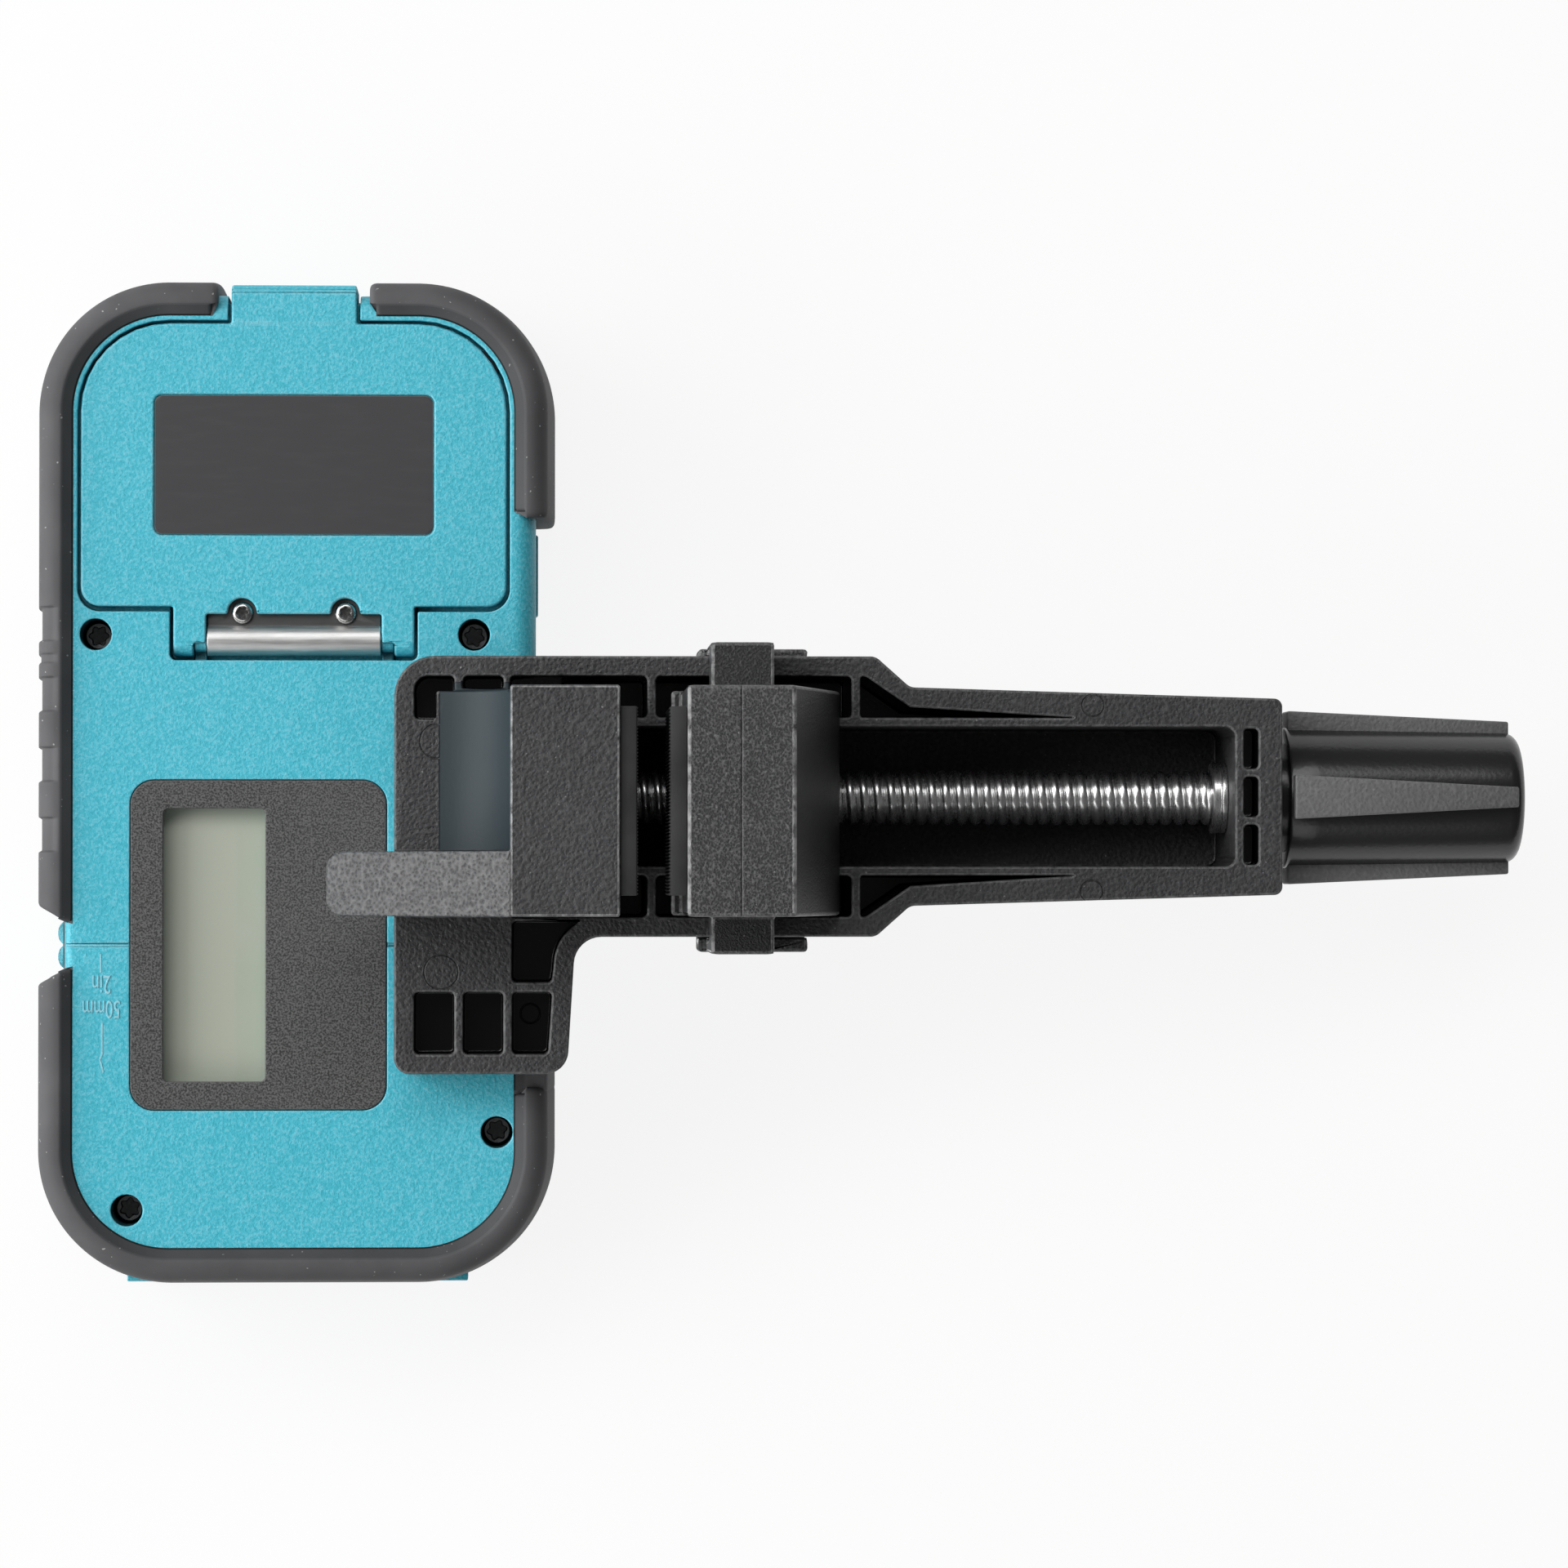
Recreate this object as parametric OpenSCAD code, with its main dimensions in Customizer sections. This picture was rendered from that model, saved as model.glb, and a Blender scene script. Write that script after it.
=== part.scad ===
// Laser receiver with its rod clamp, lying on its front face as photographed.
// Millimetres. +Z comes out of the rear face, +X runs toward the clamp knob,
// +Y runs toward the battery end. Lengths below are written about the middle of
// the receiver, and seat_row() moves every piece so that the origin is under the
// middle of the whole object.

/* [Receiver case] */
// Width over the rubber bumpers
body_w = 76.1; // [73:0.1:84]
// Length over the rubber bumpers
body_h = 147.6; // [144:0.1:160]
// Corner radius over the rubber bumpers
body_r = 20; // [18:0.5:22]
// Depth from the front face to the rear face
body_t = 29; // [28:0.5:34]
// Wall of the two case halves
wall = 2.2; // [2:0.1:2.6]
// Height of the seam above the front face
seam_up = 11; // [10:0.5:13]
// Rounding of the case edges
edge_r = 3.2; // [2.6:0.1:3.6]

/* [Rubber bumpers] */
// Rubber thickness on the flanks
rubber_t = 2.85; // [2.4:0.05:3.4]
// How far the rubber stands above the rear face
rear_lip = 1.4; // [0.8:0.1:1.8]
// How far the rubber stands below the front face
front_lip = 1; // [0.9:0.1:1.6]
// Width of the bevel along the inner edge of the rubber
lip_bevel = 1.7; // [1:0.1:2.2]
// Rounding of the outer rubber edge
rubber_round = 3.6; // [3:0.1:4]
// Gap in the rubber for the door latch
latch_gap_w = 22; // [21:0.2:26]
// Bare flank past the clamp's foot
flank_low_gap = 2.2; // [1.5:0.1:3]
// Bare flank past the clamp's arm
flank_top_gap = 19.85; // [18:0.05:22]
// Half opening of the grade notch at the outer face of the rubber
notch_out = 5.9; // [5:0.1:7]
// Half opening of the grade notch at the inner edge of the rubber
notch_in = 3.1; // [2.8:0.1:3.6]
// Grip recesses along the left bumper
grip_count = 4; // [2:1:4]
// Length of one grip recess
grip_len = 4.9; // [3:0.1:6]
// Pitch of the grip recesses
grip_pitch = 10.2; // [9:0.1:11]
// Depth of the grip recesses
grip_depth = 0.35; // [0.2:0.05:0.6]
// Distance from the grade line to the lowest grip recess
grip_from_grade = 13.6; // [12:0.1:15]

/* [Grade mark] */
// Distance from the receiver's top end to the grade line
grade_from_end = 50; // [48:0.5:52]
// Width of the grade line
grade_line_w = 0.5; // [0.3:0.1:1]
// Depth of the grade line
grade_line_depth = 0.3; // [0.2:0.05:0.5]
// Depth of the flank recess behind the two grade bumps
bump_recess = 1.1; // [0.8:0.1:1.4]
// Radius of the grade bumps
bump_r = 1.35; // [1.1:0.05:1.5]
// How far the grade bumps stay inside the flank
bump_sunk = 0.3; // [0.2:0.05:0.5]

/* [Battery door] */
// Length of the door from its free edge to its lower edge
door_h = 41.2; // [40:0.1:42]
// Thickness of the door
door_t = 2.4; // [2.2:0.1:2.6]
// Case rim between the rubber and the door
door_rim = 1.1; // [0.9:0.1:1.5]
// Gap around the door
door_gap = 0.5; // [0.4:0.05:0.6]
// Corner radius at the hinge end of the door
door_low_r = 2.8; // [2:0.1:4]
// Width of the hinge tongue
tongue_w = 35; // [34:0.1:37]
// Width of the latch tab
latch_w = 18.2; // [16:0.1:19]
// Thickness of the latch lip down the end face
latch_lip_t = 2.1; // [1.8:0.1:2.4]
// Length of the latch lip down the end face
latch_lip_len = 12.8; // [10:0.2:15]
// Width of the label recess
label_w = 40.6; // [36:0.2:44]
// Height of the label recess
label_h = 20.4; // [18:0.2:22]
// Depth of the label recess
label_depth = 0.45; // [0.3:0.05:0.6]
// Thickness of the label plate
label_t = 0.3; // [0.2:0.05:0.3]
// Section of the door seal
seal_w = 1.6; // [1.2:0.1:1.8]
// Height of the door seal
seal_t = 0.8; // [0.6:0.1:1]

/* [Door hinge] */
// Distance from the lower door edge to the hinge axis
hinge_drop = 4.85; // [4.6:0.05:5.2]
// Radius of the hinge barrel
barrel_r = 2.35; // [2.3:0.05:2.4]
// Length of the hinge barrel
barrel_len = 25.2; // [23:0.2:26]
// Radius of the hinge pin
pin_r = 1; // [0.8:0.05:1.1]
// Thickness of the steel leaf
leaf_t = 0.8; // [0.6:0.1:0.9]
// Width of the case posts that carry the pin
post_w = 1.7; // [1.4:0.1:1.8]
// Radius of the case posts round the pin
post_r = 1.75; // [1.6:0.05:1.8]
// Spacing of the two hinge screws
hinge_screw_gap = 15; // [13:0.2:17]
// Radius of the hinge screw heads
hinge_head_r = 1.6; // [1.4:0.05:1.7]
// Radius of the hinge screw shanks
hinge_shank_r = 0.9; // [0.7:0.05:1]

/* [Case screws] */
// Radius of the screw recesses in the rear face
recess_r = 2.3; // [2.2:0.05:2.5]
// Depth of the screw recesses down to the heads
recess_depth = 7; // [6:0.2:8]
// Radius of the screw heads
head_r = 2.05; // [1.9:0.05:2.1]
// Height of the screw heads
head_h = 1.8; // [1.6:0.1:2]
// Radius of the screw shanks
shank_r = 1.1; // [1:0.05:1.2]
// Length of the screw shanks
shank_len = 14; // [13:0.5:15]
// Radius of the screw bosses
boss_r = 3.6; // [3.5:0.05:3.8]

/* [Rear display] */
// Width of the rear display panel
panel_w = 37.1; // [36:0.1:38]
// Height of the rear display panel
panel_h = 47.9; // [46:0.1:49]
// Corner radius of the rear display panel
panel_r = 3.5; // [2.5:0.1:5]
// Offset of the rear display panel from the middle
panel_off = 5.08; // [4.6:0.1:6]
// Thickness of the rear display panel
panel_t = 1; // [0.8:0.05:1.1]
// Width of the display window
window_w = 14.8; // [14:0.1:16]
// Height of the display window
window_h = 39.7; // [38:0.1:41]
// Offset of the display window from the middle
window_off = 11.5; // [11:0.1:12]
// Thickness of the display glass
lcd_t = 2.2; // [1.8:0.1:2.6]
// Depth of the display glass below the rear face
lcd_depth = 3.1; // [2.9:0.1:3.6]
// How far the display glass runs on under the frame
lcd_margin = 2; // [1.5:0.1:2.4]
// Wall of the display frame
frame_wall = 1.4; // [1.2:0.1:1.8]

/* [Front panel] */
// Width of the front panel
front_panel_w = 55; // [53:0.5:57]
// Thickness of the front panel
front_panel_t = 0.8; // [0.6:0.05:0.9]
// Corner radius of the front panel
front_panel_r = 4; // [3:0.5:6]
// Width of the beam window
sensor_w = 14; // [12:0.2:15]
// Height of the beam window
sensor_h = 45; // [42:0.5:46]
// Offset of the beam window from the middle
sensor_off = 14; // [13:0.2:15]
// Rim of the beam window behind the front wall
sensor_rim = 1.4; // [1:0.1:1.6]
// Radius of the keys
key_r = 5.5; // [4.8:0.1:5.8]
// Pitch of the keys
key_pitch = 17; // [15.5:0.1:18]
// How far the keys stand out of the front face
key_proud = 0.6; // [0.4:0.05:0.7]
// Travel of the keys
key_travel = 0.6; // [0.4:0.05:0.7]
// Radius of the sound holes
sound_r = 0.8; // [0.5:0.05:0.9]

/* [Electronics] */
// Thickness of the circuit boards
board_t = 1.6; // [1.2:0.1:1.8]
// Height of the main board above the front wall
board_up = 5.4; // [5.2:0.1:6]
// Length of the battery body
battery_len = 46; // [45:0.1:46.4]
// Width of the battery
battery_w = 26.5; // [25.5:0.1:26.5]
// Thickness of the battery
battery_t = 17.5; // [16.5:0.1:17.5]
// Radius of the buzzer
buzzer_r = 8; // [6:0.2:8.4]
// Wall of the battery bay
bay_wall = 1.4; // [1.2:0.1:1.6]

/* [Clamp bracket] */
// How far the bracket foot reaches over the rear face
foot_in = 23.25; // [22:0.1:23.5]
// How far the foot passes the receiver's flank
foot_out = 2.85; // [2.2:0.1:3.4]
// Slant of the foot's outer edge
foot_slant = 1.2; // [0:0.1:2]
// How far the foot drops below the clamp axis
foot_drop = 40; // [38:0.1:40]
// Height of the bracket rim above the rear face
foot_t = 10; // [9:0.1:12]
// Half width of the wide part of the arm
arm_half = 20.25; // [20:0.05:20.5]
// Half width of the narrow part where it starts
neck_half = 15.8; // [15:0.1:16.5]
// Half width of the arm at the knob end
end_half = 14.2; // [13.6:0.1:15]
// Distance from the receiver's flank to the end of the wide part
wide_len = 46.15; // [44:0.1:48]
// Length of the diagonal between the wide and narrow parts
neck_len = 5; // [3:0.1:7]
// Length of the narrow part
narrow_len = 54; // [53:0.5:56]
// Depth of the arm
arm_depth = 26; // [25:0.1:28]
// Outer wall of the bracket
rim_w = 2.9; // [2.4:0.1:3]
// Wall between the channel and the side bays
rib_w = 1.3; // [1:0.05:1.5]
// Half width of the channel
channel_half = 10.1; // [9.8:0.05:10.2]
// Floor of the channel
channel_floor = 2; // [1.6:0.1:2.6]
// Depth of the foot pockets
pocket_depth = 6.5; // [5:0.1:7]
// Width of one foot pocket
pocket_w = 5.75; // [5:0.05:5.8]
// Height of the lower foot pockets
pocket_h = 8.9; // [8:0.1:10]
// Gap between bracket and receiver and along the sliding shoe
shoe_gap = 0.12; // [0.1:0.01:0.2]
// Width of the shoe neck
shoe_neck_w = 14; // [12:0.5:16]
// Width of the shoe head
shoe_head_w = 20; // [18:0.5:22]
// Depth of the shoe neck
shoe_neck_t = 1.5; // [1.3:0.1:1.7]
// Depth of the shoe head
shoe_head_t = 1.8; // [1.5:0.1:2]

/* [Clamp jaws] */
// Height of the jaws above the rim
jaw_h = 30; // [26:0.5:34]
// Thickness of the fixed jaw at its top
fixed_jaw_t = 15.3; // [14:0.1:17]
// Distance from the receiver's flank to the fixed jaw face
fixed_face = 8.8; // [8.4:0.05:9.2]
// Width of the jaws
jaw_w = 32.3; // [30:0.1:33]
// Shift of the jaws off the clamp axis
jaw_shift = 1; // [0.4:0.1:1.2]
// Radius of the scoop behind the fixed jaw
scoop_r = 10.7; // [8:0.1:11]
// Width of the brace behind the fixed jaw
brace_w = 9.15; // [8:0.05:10]
// Reach of the brace behind the fixed jaw
brace_len = 26.2; // [24:0.1:27]
// Drop of the brace top from the jaw to its nose
brace_drop = 18; // [15:0.5:20]
// Radius of the brace nose
nose_r = 3.2; // [2.5:0.1:4]
// Thickness of the jaw pads
pad_t = 2.5; // [2.2:0.1:2.8]
// Length of the jaw pads
pad_len = 26.4; // [24:0.1:28]
// Pitch of the pad serrations
tooth_pitch = 0.48; // [0.44:0.01:0.6]
// Depth of the pad serrations
tooth_h = 0.22; // [0.15:0.01:0.25]
// Gap between the pads as photographed
jaw_gap = 4.3; // [4.2:0.05:6]
// Thickness of the moving jaw at its top
moving_jaw_t = 15.1; // [14:0.1:17]
// Slope of the moving jaw's back from top to base
moving_slope = 7.7; // [6:0.1:8]
// Length of the guide shelf across the rim
shelf_len = 9; // [8:0.1:12]
// Height of the guide shelf above the rim
shelf_h = 10; // [8:0.1:12]
// Length of the guide cheeks below the shelf
cheek_len = 16.1; // [14:0.1:17]
// Thickness of the upper guide cheek
cheek_up_t = 1.35; // [1.2:0.05:2]
// Thickness of the lower guide cheek
cheek_low_t = 2.1; // [1.4:0.05:2.4]
// Running gap between jaw and bracket
run_gap = 0.3; // [0.3:0.02:0.4]

/* [Screw and knob] */
// Outer radius of the lead screw
screw_r = 4; // [3.6:0.05:4.2]
// Thread depth
thread_h = 0.9; // [0.6:0.05:1]
// Thread pitch
thread_pitch = 2; // [1.5:0.05:2.5]
// Radius of the plain screw ends
journal_r = 3; // [2.6:0.05:3]
// Radius of the screw collar
collar_r = 5.2; // [4.8:0.1:5.6]
// Length of the knob body
knob_len = 34.7; // [32:0.1:38]
// Radius of the knob body next to the bracket
knob_r = 10.4; // [9.8:0.1:11]
// Radius of the knob body at its end
knob_end_r = 9.6; // [9.2:0.1:9.7]
// Radius over the knob ribs next to the bracket
grip_r = 12.7; // [12:0.1:13.2]
// Radius over the knob ribs at their end
grip_end_r = 11.2; // [10.6:0.1:11.6]
// Width of the knob ribs next to the bracket
grip_w = 6.4; // [5.5:0.1:7]
// Width of the knob ribs at their end
grip_end_w = 2.9; // [2:0.1:3.5]
// Length of the knob neck
neck_gap = 2.3; // [1.8:0.1:2.6]

/* [Hidden] */
$fn = 64;
arc_steps = 8;
// Overrun of every cut
over = 1;
// Seat between two pieces that stay together
seat = 0.05;

teal = [0.13, 0.60, 0.68];
rubber_grey = [0.22, 0.22, 0.23];
clamp_black = [0.12, 0.12, 0.13];
panel_dark = [0.16, 0.16, 0.17];
steel = [0.72, 0.73, 0.75];
brass = [0.75, 0.62, 0.33];
board_green = [0.10, 0.35, 0.22];
lcd_grey = [0.62, 0.66, 0.58];
key_grey = [0.35, 0.36, 0.38];

case_w = body_w - 2 * rubber_t;
case_h = body_h - 2 * rubber_t;
case_r = body_r - rubber_t;
flank_x = case_w / 2;
edge_x = body_w / 2;
front_z = front_lip;
rear_z = front_lip + body_t;
seam_z = front_z + seam_up;
inner_z = front_z + wall;
roof_z = rear_z - wall;
grade_y = grade_from_end - body_h / 2;

door_w = case_w - 2 * (edge_r + door_rim);
door_r = case_r - edge_r - door_rim;
door_top_y = case_h / 2 - edge_r - door_rim;
door_low_y = door_top_y - door_h;
door_mid_y = (door_top_y + door_low_y) / 2;
door_z = rear_z - door_t;
ledge_z = door_z - seal_t;
deck_t = 1.6;
deck_z = ledge_z - deck_t;
latch_slot_w = latch_w + 2 * door_gap;
latch_face_y = case_h / 2 + rubber_t / 2;
latch_back_y = latch_face_y - latch_lip_t;
latch_top_drop = 0.3;
latch_round = 1.4;

hinge_y = door_low_y - hinge_drop;
hinge_z = rear_z - barrel_r;
side_gap = 0.15;
post_gap = 0.2;
post_x = barrel_len / 2 + side_gap;
ear_x = post_x + post_w + side_gap;
leaf_up = 0.3;
leaf_z = hinge_z + leaf_up;
leaf_edge_in = 3.75;
leaf_edge_y = hinge_y + leaf_edge_in;
leaf_len = 8.2;
leaf_back_y = hinge_y + leaf_len;
leaf_fit = 0.1;
screw_row_in = 0.2;
screw_row_y = leaf_edge_y + screw_row_in;
head_clear = 0.5;
hinge_notch_r = hinge_head_r + head_clear;
hinge_head_h = 0.95;
hinge_shank_len = 3;
hinge_pad_y = hinge_y + barrel_r + side_gap;
pad_past_leaf = 2.2;
hinge_pad_back = leaf_back_y + pad_past_leaf;
hinge_pad_t = 2.3;
hinge_floor_gap = 0.4;
hinge_floor_z = hinge_z - hinge_pad_t - hinge_floor_gap;
hinge_pit_y = hinge_y - barrel_r - door_gap - side_gap;
hinge_pit_x = tongue_w / 2 + door_gap;
hinge_pit_back = hinge_pad_back + hinge_floor_gap;
hinge_pit_r = 1;
// The door's lower edge swings in over the case edge by this much
door_swing = hinge_drop - sqrt(hinge_drop * hinge_drop - barrel_r * barrel_r);
door_low_gap = door_swing + side_gap;
cap_back = 0.5;
stem_drop = 0.8;
stem_front = 1.2;
label_r = 1.2;

bay_gap = 0.5;
bay_low_y = hinge_pit_back + bay_wall + bay_gap;
bay_h = battery_w + 2 * bay_gap;
bay_top_y = bay_low_y + bay_h;
bay_half = 27.5;
battery_lift = 0.2;
battery_z = ledge_z - battery_lift - battery_t;
bay_floor_z = battery_z - seat;
bay_base_z = bay_floor_z - bay_wall;
battery_x = bay_gap - bay_half;
snap_len = 2.5;
snap_r = 2.85;
socket_r = 4;
snap_gap = 12.7;
contact_x = battery_x + battery_len + snap_len + bay_gap;
contact_t = 1.6;
cup_wall = 0.7;
cup_gap = 0.2;
press_rib_w = 1.2;
press_rib_len = 18;
press_gap = 0.15;

head_top_z = rear_z - recess_depth;
head_low_z = head_top_z - head_h;
hole_clear = 0.15;
screw_hole_r = shank_r + hole_clear;
screw_tip_z = head_low_z - shank_len;
boss_gap = 0.1;
socket_drive_r = 1.2;
socket_drive_depth = 1;
// Case screws: distance in from the flank and up from the receiver's top end
upper_screw_up = 0.75;
upper_screw_y = hinge_y + upper_screw_up;
upper_left_in = 6.5;
upper_right_in = 9;
lower_left_in = 11.1;
boss_bite = 0.15;
lower_right_in = wall + boss_r - boss_bite;
lower_left_up = 8.65;
lower_right_up = 19.9;
case_screw_spots = [
    [upper_left_in - flank_x, upper_screw_y],
    [flank_x - upper_right_in, upper_screw_y],
    [flank_x - lower_right_in, lower_right_up - case_h / 2],
    [lower_left_in - flank_x, lower_left_up - case_h / 2]];

gasket_w = 0.9;
gasket_t = 0.6;
groove_gap = 0.05;

lcd_z = rear_z - lcd_depth - lcd_t;
lcd_w = window_w + 2 * lcd_margin;
lcd_h = window_h + 2 * lcd_margin;
window_r = 0.8;

board_z = inner_z + board_up;
board_top_z = board_z + board_t;
board_side_gap = 2;
board_end_gap = 4;
board_half = flank_x - wall - board_side_gap;
board_pit_gap = 0.6;
board_top_y = hinge_pit_y - bay_wall - board_pit_gap;
board_low_y = board_end_gap + wall - case_h / 2;
board_r = 12;
board_hole_gap = 0.5;
board_hole_r = boss_r + board_hole_gap;
standoff_r = 2.2;
standoff_in = 4.5;
standoff_y = 4.6;

panel_gap = 0.1;
front_lcd_gap = 0.5;
key_flange_w = 1.1;
key_flange_r = key_r + key_flange_w;
key_flange_t = 0.8;
key_gap = 0.1;
key_row_gap = 1.2;
key_row_y = board_top_y - key_flange_r - key_row_gap;
flange_z = inner_z + key_gap;
switch_half = 3;
plunger_r = 1.6;
plunger_len = 0.65;
plunger_gap = 0.08;
plunger_z = flange_z + key_flange_t + key_travel + plunger_gap;
panel_key_rim = 2.6;
front_panel_top_y = key_row_y + key_r + panel_key_rim;
panel_sensor_rim = 4;
front_panel_low_y = grade_y - sensor_h / 2 - panel_sensor_rim;
front_panel_h = front_panel_top_y - front_panel_low_y;
front_panel_y = (front_panel_top_y + front_panel_low_y) / 2;
sensor_rim_t = 0.9;
diode_count = 4;
diode_w = 5;
diode_len = 8;
diode_t = 2;
sensor_board_t = 1.2;
sensor_board_z = board_z - sensor_board_t;
buzzer_t = 4.6;
buzzer_x = 3;
buzzer_up = 13.4;
buzzer_y = buzzer_up - body_h / 2;
sound_ring = 3.2;
sound_holes = 6;

end_pad_half = 25.2;
end_pad_z = 5;
end_pad_gap = 0.15;
side_rail_t = 0.35;
side_rail_len = 12;
side_rail_z = 4.5;
side_rail_h = 4.5;
side_rail_end = 0.8;

hinge_to_bracket = 2.65;
clamp_y = hinge_y - hinge_to_bracket - arm_half;
foot_z = rear_z + shoe_gap;
rim_z = rear_z + foot_t;
arm_z = rim_z - arm_depth;
axis_z = rim_z - arm_depth / 2;
foot_x = edge_x - foot_in;
foot_low_y = clamp_y - foot_drop;
foot_right_x = edge_x + foot_out;
flank_low_y = foot_low_y - flank_low_gap;
flank_top_y = clamp_y + arm_half + flank_top_gap;
wide_x = edge_x + wide_len;
neck_x = wide_x + neck_len;
arm_end_x = neck_x + narrow_len;
foot_top_r = 5.9;
foot_low_r = 2.3;
foot_side_r = 3.4;
inner_bend_r = 4;
arm_bend_r = 2;
arm_end_r = 1.2;
deep_gap = 0.95;
deep_x = flank_x + deep_gap;
end_block = 6.9;
channel_in = 2.95;
channel_x = edge_x + channel_in;
channel_end_x = arm_end_x - end_block;
channel_r = 1.5;
floor_z = arm_z + channel_floor;
bay_in = channel_half + rib_w;
bay_out = arm_half - rim_w;
bay_x = deep_x + rim_w;
bay_rib_in = 13.15;
bay_rib_x = edge_x + bay_rib_in;
bay_rib_2in = 42.65;
bay_rib_2x = edge_x + bay_rib_2in;
bay_taper_in = 30;
bay_taper_x = arm_end_x - bay_taper_in;
bay_r = 0.8;
pocket_z = rim_z - pocket_depth;
pocket_pitch = pocket_w + rib_w;
pocket_r = 0.7;
pocket_x = foot_x + rim_w;
pocket_low_y = foot_low_y + rim_w;
upper_pocket_h = 6.2;
upper_pocket_2h = 2;
corner_pocket_h = 8.8;
end_pocket_x = channel_end_x + rib_w;
end_pocket_w = 2.1;
end_pocket_h = 5.8;
end_pocket_depth = 6;
end_pocket_pitch = 6.95;
shoe_in = 1.6;
shoe_x = foot_x + shoe_in;
shoe_y = (clamp_y + arm_half + foot_low_y) / 2;
shoe_floor = 1.3;
shoe_top_z = rear_z - shoe_neck_t;
shoe_low_z = shoe_top_z - shoe_head_t;

jaw_y = clamp_y - jaw_shift;
jaw_top_z = rim_z + jaw_h;
fixed_x = edge_x + fixed_face;
fixed_back_x = fixed_x - fixed_jaw_t;
brace_low_y = jaw_y - jaw_w / 2;
brace_top_y = brace_low_y + brace_w;
nose_x = fixed_back_x - brace_len;
nose_z = jaw_top_z - brace_drop - nose_r;
nose_plan_r = 2.6;
brace_foot_up = 2;
brace_foot_z = rim_z + brace_foot_up;
pad_low_gap = 2.2;
pad_top_gap = 0.8;
pad_h = jaw_h - pad_low_gap - pad_top_gap;
pad_z = rim_z + pad_low_gap;
pad_x = fixed_x + seat;
pad_face_x = pad_x + pad_t;
moving_face_x = pad_face_x + jaw_gap;
moving_x = moving_face_x + pad_t + seat;
moving_top_x = moving_x + moving_jaw_t;
moving_base_x = moving_top_x + moving_slope;
moving_z = rim_z + run_gap;
sill_in = 1.6;
sill_h = 1.6;
shelf_in = 3.9;
shelf_x = moving_x + shelf_in;
cheek_in = 2.8;
cheek_x = moving_x + cheek_in;
lip_t = 2.1;
lip_in = 4;
cheek_low_z = arm_z - run_gap - lip_t;
cheek_up = 9;
cheek_top_z = arm_z + cheek_up;
keel_half = channel_half - run_gap;
keel_in = 1.2;
keel_x = moving_x + keel_in;
keel_len = 19.5;
keel_z = floor_z + run_gap;
nut_half = 6.5;
nut_t = 7;
nut_gap = 0.1;
nut_x = keel_x + (keel_len - nut_t) / 2;
nut_fit = 0.06;
nut_bore_r = screw_r + nut_fit;
keel_bore_gap = 0.5;
keel_bore_r = screw_r + keel_bore_gap;
seam_groove = 0.3;

journal_gap = 0.06;
journal_len = 3.2;
thread_in = 0.6;
thread_x = channel_x + thread_in;
collar_t = 1.3;
washer_t = 0.8;
washer_x = channel_end_x - seat - washer_t;
collar_x = washer_x - seat - collar_t;
thread_run_out = 0.4;
thread_end_x = collar_x - thread_run_out;
// Start of the rising flank, crest, falling flank and root along one pitch
thread_shares = [0, 0.21, 0.53, 0.74];
thread_turns = floor((thread_end_x - thread_x) / thread_pitch);
knob_x = arm_end_x + neck_gap;
knob_end_x = knob_x + knob_len;
knob_neck_r = 8;
knob_face_gap = 0.15;
knob_dome = 1.6;
knob_dome_in = 3.2;
grip_start = 0.4;
grip_end_gap = 2.2;
knob_bore_len = 17;
tail_gap = 0.3;

row_x = (edge_x - knob_end_x) / 2;

function unit(v) = v / norm(v);

function arc(x, y, r, a, b) =
    [for (i = [0 : arc_steps]) let (t = a + (b - a) * i / arc_steps) [x + r * cos(t), y + r * sin(t)]];

function turn(a, b) = (b - a + 540) % 360 - 180;

function bend(p, a, b, r) =
    let (u = unit(a - p), v = unit(b - p), half = acos(u * v) / 2)
    let (c = p + unit(u + v) * r / sin(half), s = p + u * r / tan(half) - c, e = p + v * r / tan(half) - c)
    let (t = atan2(s[1], s[0]))
    arc(c[0], c[1], r, t, t + turn(t, atan2(e[1], e[0])));

// Polygon whose corners [x, y, radius] are rounded
function rounded(q) =
    [for (i = [0 : len(q) - 1])
        let (p = q[i], a = q[(i + len(q) - 1) % len(q)], b = q[(i + 1) % len(q)])
        each p[2] == 0
            ? [[p[0], p[1]]]
            : bend([p[0], p[1]], [a[0], a[1]], [b[0], b[1]], p[2])];

function rubber_profile(shave) = concat(
    [[-edge_r, rear_z + seat], [lip_bevel - edge_r, rear_z + rear_lip - shave]],
    arc(rubber_t - rubber_round, rear_z + rear_lip - rubber_round, rubber_round - shave, 90, 0),
    arc(rubber_t - rubber_round, rubber_round, rubber_round - shave, 0, -90),
    [[lip_bevel - edge_r, shave]],
    arc(-edge_r, front_z + edge_r, edge_r + seat, -90, 0),
    [for (p = arc(-edge_r, rear_z - edge_r, edge_r + seat, 0, 90)) if (p[0] > -edge_r + seat) p]);

edge_cut_profile = concat(
    arc(-edge_r, rear_z - edge_r, edge_r, 0, 90),
    [[-edge_r, rear_z + over], [over, rear_z + over], [over, rear_z - edge_r]]);

module seat_row() {
    translate([row_x, 0, 0])
        children();
}

module block(low, high) {
    translate(low)
        cube(high - low);
}

module plate(w, h, r) {
    square([w - 2 * r, h], center = true);
    square([w, h - 2 * r], center = true);
    for (i = [-1, 1], j = [-1, 1])
        translate([i * (w / 2 - r), j * (h / 2 - r)])
            circle(r);
}

module slab(z, t, w, h, r) {
    translate([0, 0, z])
        linear_extrude(t)
            plate(w, h, r);
}

module rod_x(x, len, y, z, r) {
    translate([x, y, z])
        rotate([0, 90, 0])
            cylinder(r = r, h = len);
}

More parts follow.
